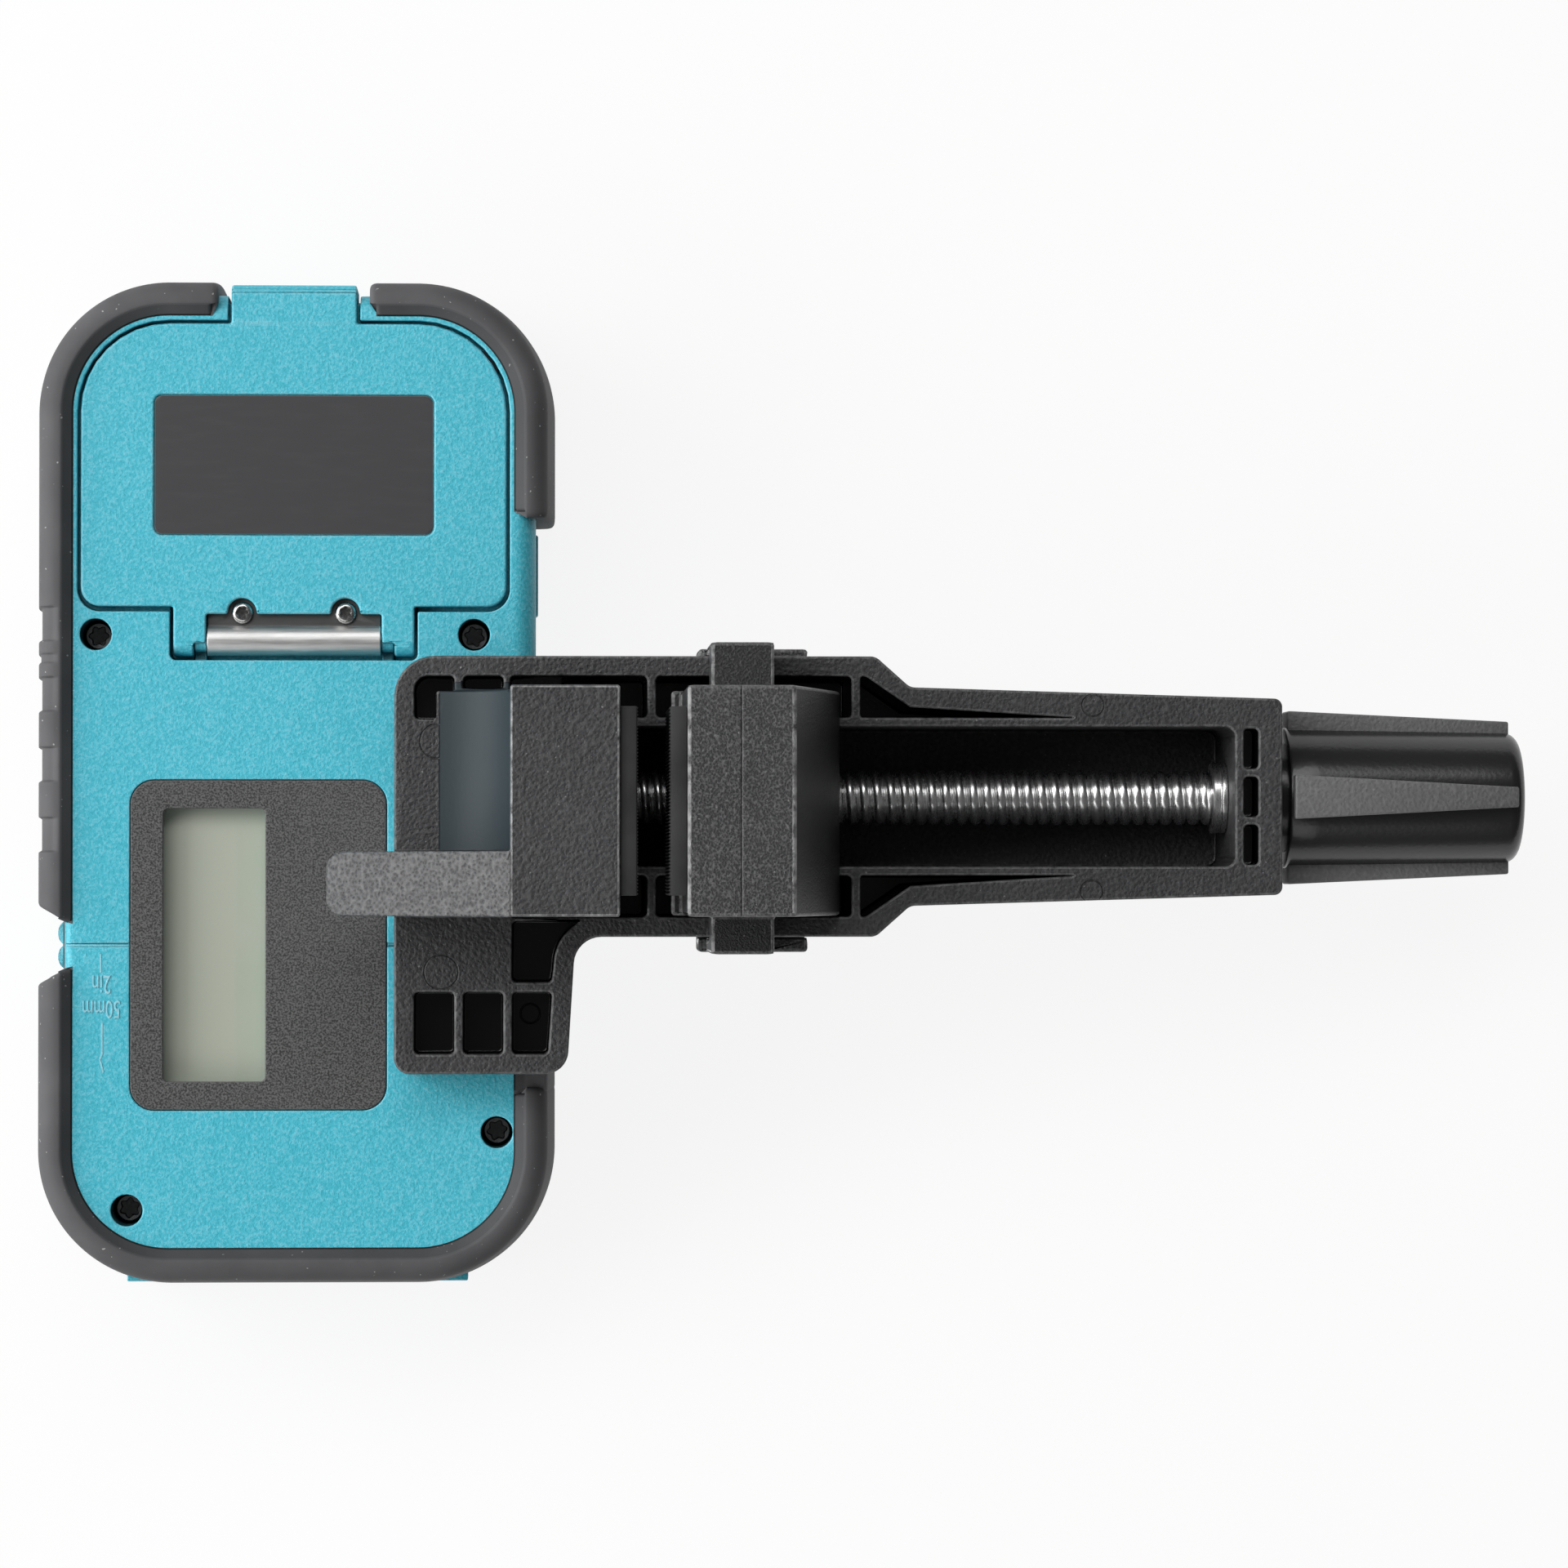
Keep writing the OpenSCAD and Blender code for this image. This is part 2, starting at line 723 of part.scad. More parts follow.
// A profile in x and z drawn out along y
module across(y, len) {
    translate([0, y + len, 0])
        rotate([90, 0, 0])
            linear_extrude(len)
                children();
}

// A profile along one side of the case outline, side 0 is +X, 1 is +Y, 2 is -X, 3 is -Y
module run(side, from, to, points) {
    rotate([0, 0, 90 * side])
        translate([side % 2 == 0 ? case_w / 2 : case_h / 2, 0, 0])
            across(from, to - from)
                polygon(points);
}

// A profile round one corner of the case outline, corner 0 is +X+Y and on counterclockwise
module corner(i, points) {
    x = case_w / 2 - case_r;
    y = case_h / 2 - case_r;
    translate([i == 0 || i == 3 ? x : -x, i < 2 ? y : -y, 0])
        rotate([0, 0, 90 * i])
            rotate_extrude(angle = 90)
                translate([case_r, 0])
                    polygon(points);
}

module around(points) {
    for (i = [0 : 3]) {
        half = i % 2 == 0 ? case_h / 2 - case_r : case_w / 2 - case_r;
        run(i, -half, half, points);
        corner(i, points);
    }
}

module case_form() {
    difference() {
        slab(front_z, body_t, case_w, case_h, case_r);
        around(edge_cut_profile);
        translate([0, 0, front_z + rear_z])
            mirror([0, 0, 1])
                around(edge_cut_profile);
        block([-flank_x - over, grade_y - notch_in, 0],
            [bump_recess - flank_x, grade_y + notch_in, rear_z + over]);
    }
    for (i = [-1, 1])
        translate([bump_sunk + bump_r - flank_x, grade_y + i * notch_in / 2, front_z + edge_r])
            cylinder(r = bump_r, h = body_t - 2 * edge_r);
}

module door_outline(grow, low) {
    x = door_w / 2 + grow;
    polygon(rounded([
        [-x, door_low_y - low, door_low_r + grow],
        [x, door_low_y - low, door_low_r + grow],
        [x, door_top_y + grow, door_r + grow],
        [-x, door_top_y + grow, door_r + grow]]));
}

module rear_case() {
    color(teal) seat_row() difference() {
        union() {
            difference() {
                case_form();
                block([-body_w, -body_h, -over], [body_w, body_h, seam_z]);
                slab(seam_z - over, roof_z - seam_z + over, case_w - 2 * wall, case_h - 2 * wall,
                    case_r - wall);
            }
            for (p = case_screw_spots)
                translate([p[0], p[1], seam_z])
                    cylinder(r = boss_r, h = roof_z + wall / 2 - seam_z);
            intersection() {
                slab(deck_z, roof_z + wall / 2 - deck_z, case_w - wall, case_h - wall,
                    case_r - wall / 2);
                block([-body_w, door_low_y - door_low_gap - wall, 0], [body_w, body_h, rear_z]);
            }
            block([-hinge_pit_x - bay_wall, hinge_pit_y - bay_wall, hinge_floor_z - bay_wall],
                [hinge_pit_x + bay_wall, hinge_pit_back + bay_wall, roof_z + wall / 2]);
            block([-bay_half - bay_wall, bay_low_y - bay_wall, bay_base_z],
                [bay_half + bay_wall, bay_top_y + bay_wall, deck_z + deck_t / 2]);
            block([shoe_x - wall, shoe_y - shoe_head_w / 2 - wall, shoe_low_z - shoe_floor],
                [flank_x - wall / 2, shoe_y + shoe_head_w / 2 + wall, roof_z + wall / 2]);
        }
        translate([0, 0, ledge_z])
            linear_extrude(rear_z - ledge_z + over)
                door_outline(door_gap, door_low_gap);
        block([-bay_half, bay_low_y, bay_floor_z], [bay_half, bay_top_y, rear_z + over]);
        block([-latch_slot_w / 2, door_top_y - door_r, ledge_z],
            [latch_slot_w / 2, body_h, rear_z + over]);
        block([-latch_slot_w / 2, latch_back_y - door_gap, rear_z - latch_lip_len - door_gap],
            [latch_slot_w / 2, body_h, rear_z + over]);
        difference() {
            translate([0, (hinge_pit_y + hinge_pit_back) / 2, 0])
                slab(hinge_floor_z, rear_z - hinge_floor_z + over, 2 * hinge_pit_x,
                    hinge_pit_back - hinge_pit_y, hinge_pit_r);
            hinge_posts();
        }
        for (p = case_screw_spots)
            translate([p[0], p[1], 0]) {
                translate([0, 0, head_low_z - seat])
                    cylinder(r = recess_r, h = recess_depth + head_h + seat + over);
                cylinder(r = screw_hole_r, h = rear_z);
            }
        translate([-panel_off, grade_y, 0])
            slab(rear_z - panel_t - seat, panel_t + over, panel_w + 2 * panel_gap, panel_h + 2 * panel_gap,
                panel_r + panel_gap);
        translate([-window_off, grade_y, 0])
            slab(roof_z - over, wall + over, window_w + lcd_margin, window_h + lcd_margin, window_r);
        block([-flank_x - over, grade_y - grade_line_w / 2, rear_z - grade_line_depth],
            [flank_x + over, grade_y + grade_line_w / 2, rear_z + over]);
        block([shoe_x - shoe_gap, shoe_y - shoe_neck_w / 2 - shoe_gap, shoe_top_z - over],
            [body_w, shoe_y + shoe_neck_w / 2 + shoe_gap, rear_z + over]);
        block([shoe_x - shoe_gap, shoe_y - shoe_head_w / 2 - shoe_gap, shoe_low_z - shoe_gap],
            [body_w, shoe_y + shoe_head_w / 2 + shoe_gap, shoe_top_z + shoe_gap]);
    }
}

module hinge_posts() {
    for (i = [-1, 1])
        translate([i * (post_x + post_w / 2), 0, 0])
            difference() {
                union() {
                    rod_x(-post_w / 2, post_w, hinge_y, hinge_z, post_r);
                    block([-post_w / 2, hinge_pit_y - over, hinge_floor_z - over],
                        [post_w / 2, hinge_y + stem_front, hinge_z - stem_drop]);
                }
                rod_x(-post_w, 2 * post_w, hinge_y, hinge_z, pin_r + seat);
            }
}

module front_case() {
    color(teal) seat_row() difference() {
        union() {
            difference() {
                case_form();
                block([-body_w, -body_h, seam_z], [body_w, body_h, rear_z + over]);
                slab(inner_z, body_t, case_w - 2 * wall, case_h - 2 * wall, case_r - wall);
            }
            for (p = case_screw_spots)
                translate([p[0], p[1], inner_z - wall / 2])
                    cylinder(r = boss_r, h = seam_z - boss_gap - inner_z + wall / 2);
            for (i = [-1, 1], y = [board_top_y - standoff_y, board_low_y + board_r])
                translate([i * (board_half - standoff_in), y, inner_z - wall / 2])
                    cylinder(r = standoff_r, h = board_up + wall / 2);
            block([-end_pad_half, -body_h / 2, end_pad_z],
                [end_pad_half, wall / 2 - case_h / 2, seam_z]);
            block([flank_x - wall / 2, flank_top_y - side_rail_end - side_rail_len, side_rail_z],
                [flank_x + side_rail_t, flank_top_y - side_rail_end, side_rail_z + side_rail_h]);
        }
        for (p = case_screw_spots)
            translate([p[0], p[1], screw_tip_z - seat])
                cylinder(r = shank_r + seat, h = body_t);
        gasket_ring(seam_z - gasket_t - groove_gap, gasket_t + over, groove_gap);
        translate([0, front_panel_y, 0])
            slab(front_z - over, front_panel_t + seat + over, front_panel_w + 2 * panel_gap,
                front_panel_h + 2 * panel_gap, front_panel_r + panel_gap);
        translate([-window_off, grade_y, 0])
            slab(0, inner_z + over, window_w, window_h, window_r);
        translate([sensor_off, grade_y, 0])
            slab(0, inner_z + over, sensor_w + 2 * panel_gap, sensor_h + 2 * panel_gap,
                window_r + panel_gap);
        for (i = [-1 : 1])
            translate([i * key_pitch, key_row_y, 0])
                cylinder(r = key_r + key_gap, h = inner_z + over);
        translate([buzzer_x, buzzer_y, 0]) {
            cylinder(r = sound_r, h = inner_z + over);
            for (i = [1 : sound_holes])
                rotate([0, 0, 360 * i / sound_holes])
                    translate([sound_ring, 0, 0])
                        cylinder(r = sound_r, h = inner_z + over);
        }
    }
}

module gasket_ring(z, t, grow) {
    mid = wall - gasket_w;
    difference() {
        slab(z, t, case_w - mid + 2 * grow, case_h - mid + 2 * grow, case_r - mid / 2 + grow);
        slab(z - over, t + 2 * over, case_w - mid - 2 * gasket_w - 2 * grow,
            case_h - mid - 2 * gasket_w - 2 * grow, case_r - mid / 2 - gasket_w - grow);
    }
}

module case_gasket() {
    color(rubber_grey) seat_row()
        gasket_ring(seam_z - gasket_t, gasket_t, 0);
}

module case_screws() {
    color(panel_dark) seat_row()
        for (p = case_screw_spots)
            translate([p[0], p[1], 0])
                difference() {
                    union() {
                        translate([0, 0, head_low_z])
                            cylinder(r = head_r, h = head_h);
                        translate([0, 0, screw_tip_z])
                            cylinder(r = shank_r, h = shank_len + head_h / 2);
                    }
                    translate([0, 0, head_top_z - socket_drive_depth])
                        cylinder(r = socket_drive_r, h = socket_drive_depth + over, $fn = 6);
                }
}

// Wedge that opens the rubber at the grade mark
module notch_cut() {
    inner_x = edge_r - flank_x;
    translate([0, 0, -over])
        linear_extrude(rear_z + rear_lip + 2 * over)
            polygon([
                [-edge_x - over, grade_y - notch_out],
                [-edge_x, grade_y - notch_out],
                [inner_x, grade_y - notch_in],
                [inner_x + over, grade_y - notch_in],
                [inner_x + over, grade_y + notch_in],
                [inner_x, grade_y + notch_in],
                [-edge_x, grade_y + notch_out],
                [-edge_x - over, grade_y + notch_out]]);
}

module bumper_upper_left() {
    half_h = case_h / 2 - case_r;
    half_w = case_w / 2 - case_r;
    low = grade_y + grip_from_grade;
    color(rubber_grey) seat_row() difference() {
        union() {
            run(1, latch_gap_w / 2, half_w, rubber_profile(0));
            corner(1, rubber_profile(0));
            run(2, -half_h, seat - low - (grip_count - 1) * grip_pitch - grip_len, rubber_profile(0));
            for (i = [0 : grip_count - 1]) {
                start = -low - i * grip_pitch;
                run(2, start - grip_len, start, rubber_profile(grip_depth));
                run(2, start - seat, i == 0 ? -grade_y : start + grip_pitch - grip_len + seat,
                    rubber_profile(0));
            }
        }
        notch_cut();
    }
}

module bumper_upper_right() {
    color(rubber_grey) seat_row() {
        run(1, case_r - case_w / 2, -latch_gap_w / 2, rubber_profile(0));
        corner(0, rubber_profile(0));
        run(0, flank_top_y, case_h / 2 - case_r, rubber_profile(0));
    }
}

module bumper_lower() {
    half_h = case_h / 2 - case_r;
    half_w = case_w / 2 - case_r;
    color(rubber_grey) seat_row() difference() {
        union() {
            run(2, -grade_y, half_h, rubber_profile(0));
            corner(2, rubber_profile(0));
            run(3, -half_w, half_w, rubber_profile(0));
            corner(3, rubber_profile(0));
            run(0, -half_h, flank_low_y, rubber_profile(0));
        }
        notch_cut();
        block([-end_pad_half - end_pad_gap, -body_h, end_pad_z - end_pad_gap],
            [end_pad_half + end_pad_gap, rubber_t - case_h / 2, seam_z + end_pad_gap]);
    }
}

module battery_door() {
    cut_x = barrel_len / 2 + side_gap;
    color(teal) seat_row() difference() {
        union() {
            translate([0, 0, door_z])
                linear_extrude(door_t)
                    door_outline(0, 0);
            block([-tongue_w / 2, hinge_y, door_z],
                [tongue_w / 2, door_low_y + door_low_r, rear_z]);
            for (i = [-1, 1]) {
                rod_x(i < 0 ? -tongue_w / 2 : ear_x, tongue_w / 2 - ear_x, hinge_y, hinge_z, barrel_r);
                intersection() {
                    rod_x(i < 0 ? -ear_x : post_x, ear_x - post_x, hinge_y, hinge_z, barrel_r);
                    block([-tongue_w, hinge_y - cap_back, hinge_z],
                        [tongue_w, hinge_y + barrel_r, rear_z]);
                }
                block([i * press_rib_len - press_rib_w / 2, door_mid_y - press_rib_len / 2,
                        battery_z + battery_t + press_gap],
                    [i * press_rib_len + press_rib_w / 2, door_mid_y + press_rib_len / 2,
                        door_z + door_t / 2]);
            }
            block([-barrel_len / 2, hinge_pad_y, hinge_z - hinge_pad_t],
                [barrel_len / 2, hinge_pad_back, door_z + door_t / 2]);
            block([-latch_w / 2, door_top_y - door_r, door_z],
                [latch_w / 2, latch_face_y - latch_round, rear_z - latch_top_drop]);
            block([-latch_w / 2, latch_back_y, rear_z - latch_lip_len],
                [latch_w / 2, latch_face_y, rear_z - latch_top_drop - latch_round]);
            rod_x(-latch_w / 2, latch_w, latch_face_y - latch_round, rear_z - latch_top_drop - latch_round,
                latch_round);
        }
        block([-cut_x, hinge_y - tongue_w, leaf_z - seat], [cut_x, leaf_edge_y, rear_z + over]);
        block([-cut_x, hinge_y - tongue_w, 0], [cut_x, hinge_pad_y, rear_z + over]);
        block([-cut_x, hinge_y, leaf_z - seat],
            [cut_x, leaf_back_y + leaf_fit, leaf_z + leaf_t + leaf_fit]);
        for (i = [-1, 1]) {
            rod_x(i < 0 ? -ear_x : post_x - side_gap, ear_x - post_x + side_gap, hinge_y, hinge_z,
                post_r + post_gap);
            rod_x(i < 0 ? -tongue_w : 0, tongue_w, hinge_y, hinge_z, pin_r + post_gap);
            translate([i * hinge_screw_gap / 2, screw_row_y, 0]) {
                translate([0, 0, leaf_z + leaf_t])
                    cylinder(r = hinge_notch_r, h = barrel_r + over);
                translate([0, 0, hinge_z - hinge_pad_t - over])
                    cylinder(r = hinge_shank_r + seat, h = barrel_r + hinge_pad_t);
            }
        }
        translate([0, door_mid_y, 0])
            slab(rear_z - label_depth, label_depth + over, label_w, label_h, label_r);
    }
}

module door_seal() {
    color(rubber_grey) seat_row()
        difference() {
            intersection() {
                block([-bay_half - bay_gap - seal_w, bay_low_y - bay_gap - seal_w, ledge_z],
                    [bay_half + bay_gap + seal_w, bay_top_y + bay_gap + seal_w, door_z - seat]);
                linear_extrude(rear_z)
                    door_outline(door_gap - seat, door_gap - seat);
            }
            block([-bay_half - bay_gap, bay_low_y - bay_gap, 0],
                [bay_half + bay_gap, bay_top_y + bay_gap, rear_z]);
        }
}

module label_plate() {
    color(panel_dark) seat_row()
        translate([0, door_mid_y, 0])
            slab(rear_z - label_depth, label_t, label_w - 2 * panel_gap, label_h - 2 * panel_gap,
                label_r - panel_gap);
}

module hinge_leaf() {
    color(steel) seat_row() difference() {
        union() {
            rod_x(-barrel_len / 2, barrel_len, hinge_y, hinge_z, barrel_r - seat);
            block([-barrel_len / 2, hinge_y, leaf_z], [barrel_len / 2, leaf_back_y, leaf_z + leaf_t]);
        }
        rod_x(-barrel_len, 2 * barrel_len, hinge_y, hinge_z, pin_r + seat);
        for (i = [-1, 1])
            translate([i * hinge_screw_gap / 2, screw_row_y, leaf_z - over])
                cylinder(r = hinge_shank_r + seat, h = leaf_t + 2 * over);
    }
}

module hinge_pin() {
    len = 2 * (post_x + post_w);
    color(steel) seat_row()
        rod_x(-len / 2, len, hinge_y, hinge_z, pin_r);
}

module hinge_screws() {
    color(steel) seat_row()
        for (i = [-1, 1])
            translate([i * hinge_screw_gap / 2, screw_row_y, leaf_z + leaf_t])
                difference() {
                    union() {
                        cylinder(r = hinge_head_r, h = hinge_head_h);
                        translate([0, 0, -hinge_shank_len])
                            cylinder(r = hinge_shank_r, h = hinge_shank_len + hinge_head_h / 2);
                    }
                    translate([0, 0, hinge_head_h / 2])
                        cylinder(r = hinge_head_r / 2, h = hinge_head_h, $fn = 6);
                }
}

module rear_panel() {
    color(panel_dark) seat_row()
        difference() {
            translate([-panel_off, grade_y, 0])
                slab(rear_z - panel_t, panel_t, panel_w, panel_h, panel_r);
            translate([-window_off, grade_y, 0])
                slab(roof_z, body_t, window_w, window_h, window_r);
        }
}

module rear_lcd() {
    color(lcd_grey) seat_row()
        translate([-window_off, grade_y, 0])
            slab(lcd_z, lcd_t, lcd_w, lcd_h, window_r);
}

module lcd_frame() {
    color(clamp_black) seat_row()
        translate([-window_off, grade_y, 0])
            difference() {
                slab(board_top_z, lcd_z - board_top_z, lcd_w, lcd_h, window_r);
                slab(board_top_z - over, body_t, lcd_w - 2 * frame_wall, lcd_h - 2 * frame_wall, window_r);
            }
}

module front_panel() {
    color(panel_dark) seat_row() difference() {
        translate([0, front_panel_y, 0])
            slab(front_z, front_panel_t, front_panel_w, front_panel_h, front_panel_r);
        translate([-window_off, grade_y, 0])
            slab(0, body_t, window_w, window_h, window_r);
        translate([sensor_off, grade_y, 0])
            slab(0, body_t, sensor_w + 2 * panel_gap, sensor_h + 2 * panel_gap, window_r + panel_gap);
        for (i = [-1 : 1])
            translate([i * key_pitch, key_row_y, 0])
                cylinder(r = key_r + key_gap, h = body_t);
    }
}

module front_lcd() {
    color(lcd_grey) seat_row()
        translate([-window_off, grade_y, 0])
            slab(inner_z + front_lcd_gap, board_up - front_lcd_gap, lcd_w, lcd_h, window_r);
}

module sensor_window() {
    color(panel_dark) seat_row()
        translate([sensor_off, grade_y, 0]) {
            slab(front_z, wall + sensor_rim_t, sensor_w, sensor_h, window_r);
            slab(inner_z + seat, sensor_rim_t - seat, sensor_w + 2 * sensor_rim, sensor_h + 2 * sensor_rim,
                window_r);
        }
}

module photodiodes() {
    pitch = sensor_h / diode_count;
    color(clamp_black) seat_row()
        for (i = [1 : diode_count])
            translate([sensor_off - diode_w / 2,
                    grade_y - sensor_h / 2 + (i - 1 / 2) * pitch - diode_len / 2,
                    sensor_board_z - diode_t])
                cube([diode_w, diode_len, diode_t]);
}

module sensor_board() {
    color(board_green) seat_row()
        translate([sensor_off, grade_y, 0])
            slab(sensor_board_z, sensor_board_t, sensor_w, sensor_h, window_r);
}

module main_board() {
    h = board_top_y - board_low_y;
    color(board_green) seat_row() difference() {
        translate([0, board_low_y + h / 2, 0])
            slab(board_z, board_t, 2 * board_half, h, board_r);
        for (p = case_screw_spots)
            translate([p[0], p[1], board_z - over])
                cylinder(r = board_hole_r, h = board_t + 2 * over);
    }
}

module buzzer() {
    color(clamp_black) seat_row()
        translate([buzzer_x, buzzer_y, board_z - buzzer_t])
            cylinder(r = buzzer_r, h = buzzer_t);
}

module key(i) {
    color(key_grey) seat_row()
        translate([i * key_pitch, key_row_y, 0]) {
            translate([0, 0, front_z - key_proud])
                cylinder(r = key_r, h = flange_z + key_flange_t - front_z + key_proud);
            translate([0, 0, flange_z])
                cylinder(r = key_flange_r, h = key_flange_t);
        }
}

module key_power() {
    key(-1);
}

module key_sound() {
    key(0);
}

module key_accuracy() {
    key(1);
}

module key_switches() {
    color(clamp_black) seat_row()
        for (i = [-1 : 1])
            translate([i * key_pitch, key_row_y, 0]) {
                block([-switch_half, -switch_half, plunger_z + plunger_len],
                    [switch_half, switch_half, board_z]);
                translate([0, 0, plunger_z])
                    cylinder(r = plunger_r, h = 2 * plunger_len);
            }
}

module snaps(grow, len) {
    mid_y = bay_low_y + bay_h / 2;
    rod_x(battery_x + battery_len - snap_len / 2, snap_len / 2 + len, mid_y - snap_gap / 2,
        battery_z + battery_t / 2, snap_r + grow);
    rod_x(battery_x + battery_len - snap_len / 2, snap_len / 2 + len, mid_y + snap_gap / 2,
        battery_z + battery_t / 2, socket_r + grow);
}

module battery() {
    color(steel) seat_row() {
        block([battery_x, bay_low_y + bay_gap, battery_z],
            [battery_x + battery_len, bay_top_y - bay_gap, battery_z + battery_t]);
        snaps(0, snap_len);
    }
}

module battery_contacts() {
    color(clamp_black) seat_row() difference() {
        union() {
            block([contact_x, bay_low_y + seat, bay_floor_z + seat],
                [contact_x + contact_t, bay_top_y - seat, ledge_z - battery_lift]);
            snaps(cup_gap + cup_wall, snap_len + bay_gap + contact_t / 2);
        }
        block([0, 0, 0], [battery_x + battery_len + bay_gap, body_h, rear_z]);
        snaps(cup_gap, snap_len + bay_gap);
    }
}

module bracket_outline() {
    polygon(rounded([
        [foot_x, clamp_y + arm_half, foot_top_r],
        [foot_x, foot_low_y, foot_low_r],
        [foot_right_x - foot_slant, foot_low_y, foot_side_r],
        [foot_right_x, clamp_y - arm_half, inner_bend_r],
        [wide_x, clamp_y - arm_half, arm_bend_r],
        [neck_x, clamp_y - neck_half, arm_bend_r],
        [arm_end_x, clamp_y - end_half, arm_end_r],
        [arm_end_x, clamp_y + end_half, arm_end_r],
        [neck_x, clamp_y + neck_half, arm_bend_r],
        [wide_x, clamp_y + arm_half, arm_bend_r]]));
}

// Side profile of the fixed jaw with the scoop behind it
module fixed_jaw_profile() {
    polygon(concat(
        [[fixed_x, rim_z - over], [fixed_x, jaw_top_z], [fixed_back_x, jaw_top_z]],
        arc(fixed_back_x - scoop_r, rim_z + scoop_r, scoop_r, 0, -90),
        [[fixed_back_x - scoop_r, rim_z - over]]));
}

module brace_profile() {
    polygon(concat(
        [[fixed_x - over, rim_z - over], [fixed_x - over, jaw_top_z], [fixed_back_x, jaw_top_z]],
        arc(nose_x + nose_r, nose_z, nose_r, 125, 250),
        [[foot_x, brace_foot_z], [foot_x, rim_z - over]]));
}

module brace() {
    intersection() {
        across(brace_low_y, brace_w)
            brace_profile();
        translate([0, 0, rim_z - over])
            linear_extrude(jaw_h + 2 * over)
                polygon(rounded([
                    [nose_x, brace_low_y, nose_plan_r],
                    [fixed_x, brace_low_y, 0],
                    [fixed_x, brace_top_y, 0],
                    [nose_x, brace_top_y, nose_plan_r]]));
    }
}

// Pocket between two corners, cut down from the rim
module pocket(x, y, w, h, low) {
    translate([x + w / 2, y + h / 2, 0])
        slab(low, rim_z - low + over, w, h, pocket_r);
}

module side_bays() {
    gap = bay_out - bay_in;
    pocket(fixed_back_x - seat, bay_in, bay_rib_x - fixed_back_x + seat, gap, pocket_z);
    pocket(bay_x, bay_in, bay_rib_x - bay_x, gap, floor_z);
    pocket(bay_rib_x + rib_w, bay_in, bay_rib_2x - bay_rib_x - rib_w, gap, floor_z);
    translate([0, 0, floor_z])
        linear_extrude(arm_depth)
            polygon([
                [bay_rib_2x + rib_w, bay_in],
                [bay_taper_x, bay_in],
                [neck_x, neck_half - rim_w],
                [wide_x - rim_w / 2, bay_out],
                [bay_rib_2x + rib_w, bay_out]]);
}

module foot_pockets() {
    for (i = [0 : 2])
        pocket(pocket_x + i * pocket_pitch, pocket_low_y, pocket_w, pocket_h, pocket_z);
    pocket(pocket_x + 2 * pocket_pitch, pocket_low_y + pocket_h + rim_w / 2, pocket_w, corner_pocket_h,
        pocket_z);
    pocket(pocket_x, clamp_y + bay_out - upper_pocket_h, pocket_w, upper_pocket_h, pocket_z);
    pocket(pocket_x + pocket_pitch, clamp_y + bay_out - upper_pocket_2h, pocket_w, upper_pocket_2h,
        pocket_z);
}

module clamp_bracket() {
    jaw_low_y = jaw_y - jaw_w / 2;
    color(clamp_black) seat_row() {
        difference() {
            union() {
                translate([0, 0, foot_z])
                    linear_extrude(rim_z - foot_z)
                        bracket_outline();
                intersection() {
                    translate([0, 0, arm_z])
                        linear_extrude(rim_z - arm_z - over)
                            bracket_outline();
                    block([deep_x, clamp_y - arm_half, 0],
                        [arm_end_x + over, clamp_y + arm_half, rim_z]);
                }
                block([shoe_x, shoe_y - shoe_neck_w / 2, shoe_low_z + shoe_head_t / 2],
                    [flank_x, shoe_y + shoe_neck_w / 2, foot_z + over]);
                block([shoe_x, shoe_y - shoe_head_w / 2, shoe_low_z],
                    [flank_x, shoe_y + shoe_head_w / 2, shoe_top_z]);
            }
            translate([(channel_x + channel_end_x) / 2, clamp_y, 0])
                slab(floor_z, arm_depth, channel_end_x - channel_x, 2 * channel_half,
                    channel_r);
            translate([0, clamp_y, 0]) {
                side_bays();
                mirror([0, 1, 0])
                    side_bays();
                for (i = [-1 : 1])
                    pocket(end_pocket_x, i * end_pocket_pitch - end_pocket_h / 2,
                        end_pocket_w, end_pocket_h, rim_z - end_pocket_depth);
            }
            foot_pockets();
            rod_x(channel_end_x - over, end_block + 2 * over, clamp_y, axis_z, journal_r + journal_gap);
            rod_x(channel_x - journal_len - journal_gap, journal_len + over, clamp_y, axis_z,
                journal_r + journal_gap);
        }
        across(brace_top_y - seat, jaw_w - brace_w + seat)
            fixed_jaw_profile();
        across(jaw_low_y, brace_w)
            polygon([
                [fixed_x, rim_z - over],
                [fixed_x, jaw_top_z],
                [fixed_back_x, jaw_top_z],
                [fixed_back_x, rim_z - over]]);
        brace();
    }
}

// Toothed pad outline, teeth pointing along +X
module pad_outline() {
    teeth = floor(pad_len / tooth_pitch);
    polygon(concat(
        [[0, pad_len / 2], [0, -pad_len / 2]],
        [for (i = [0 : 2 * teeth])
            [i % 2 == 0 ? pad_t - tooth_h : pad_t, (i / (2 * teeth) - 1 / 2) * pad_len]]));
}

module fixed_pad() {
    color(rubber_grey) seat_row()
        translate([pad_x, jaw_y, pad_z])
            linear_extrude(pad_h)
                pad_outline();
}

module moving_pad() {
    color(rubber_grey) seat_row()
        translate([moving_x - seat, jaw_y, pad_z])
            mirror([1, 0, 0])
                linear_extrude(pad_h)
                    pad_outline();
}

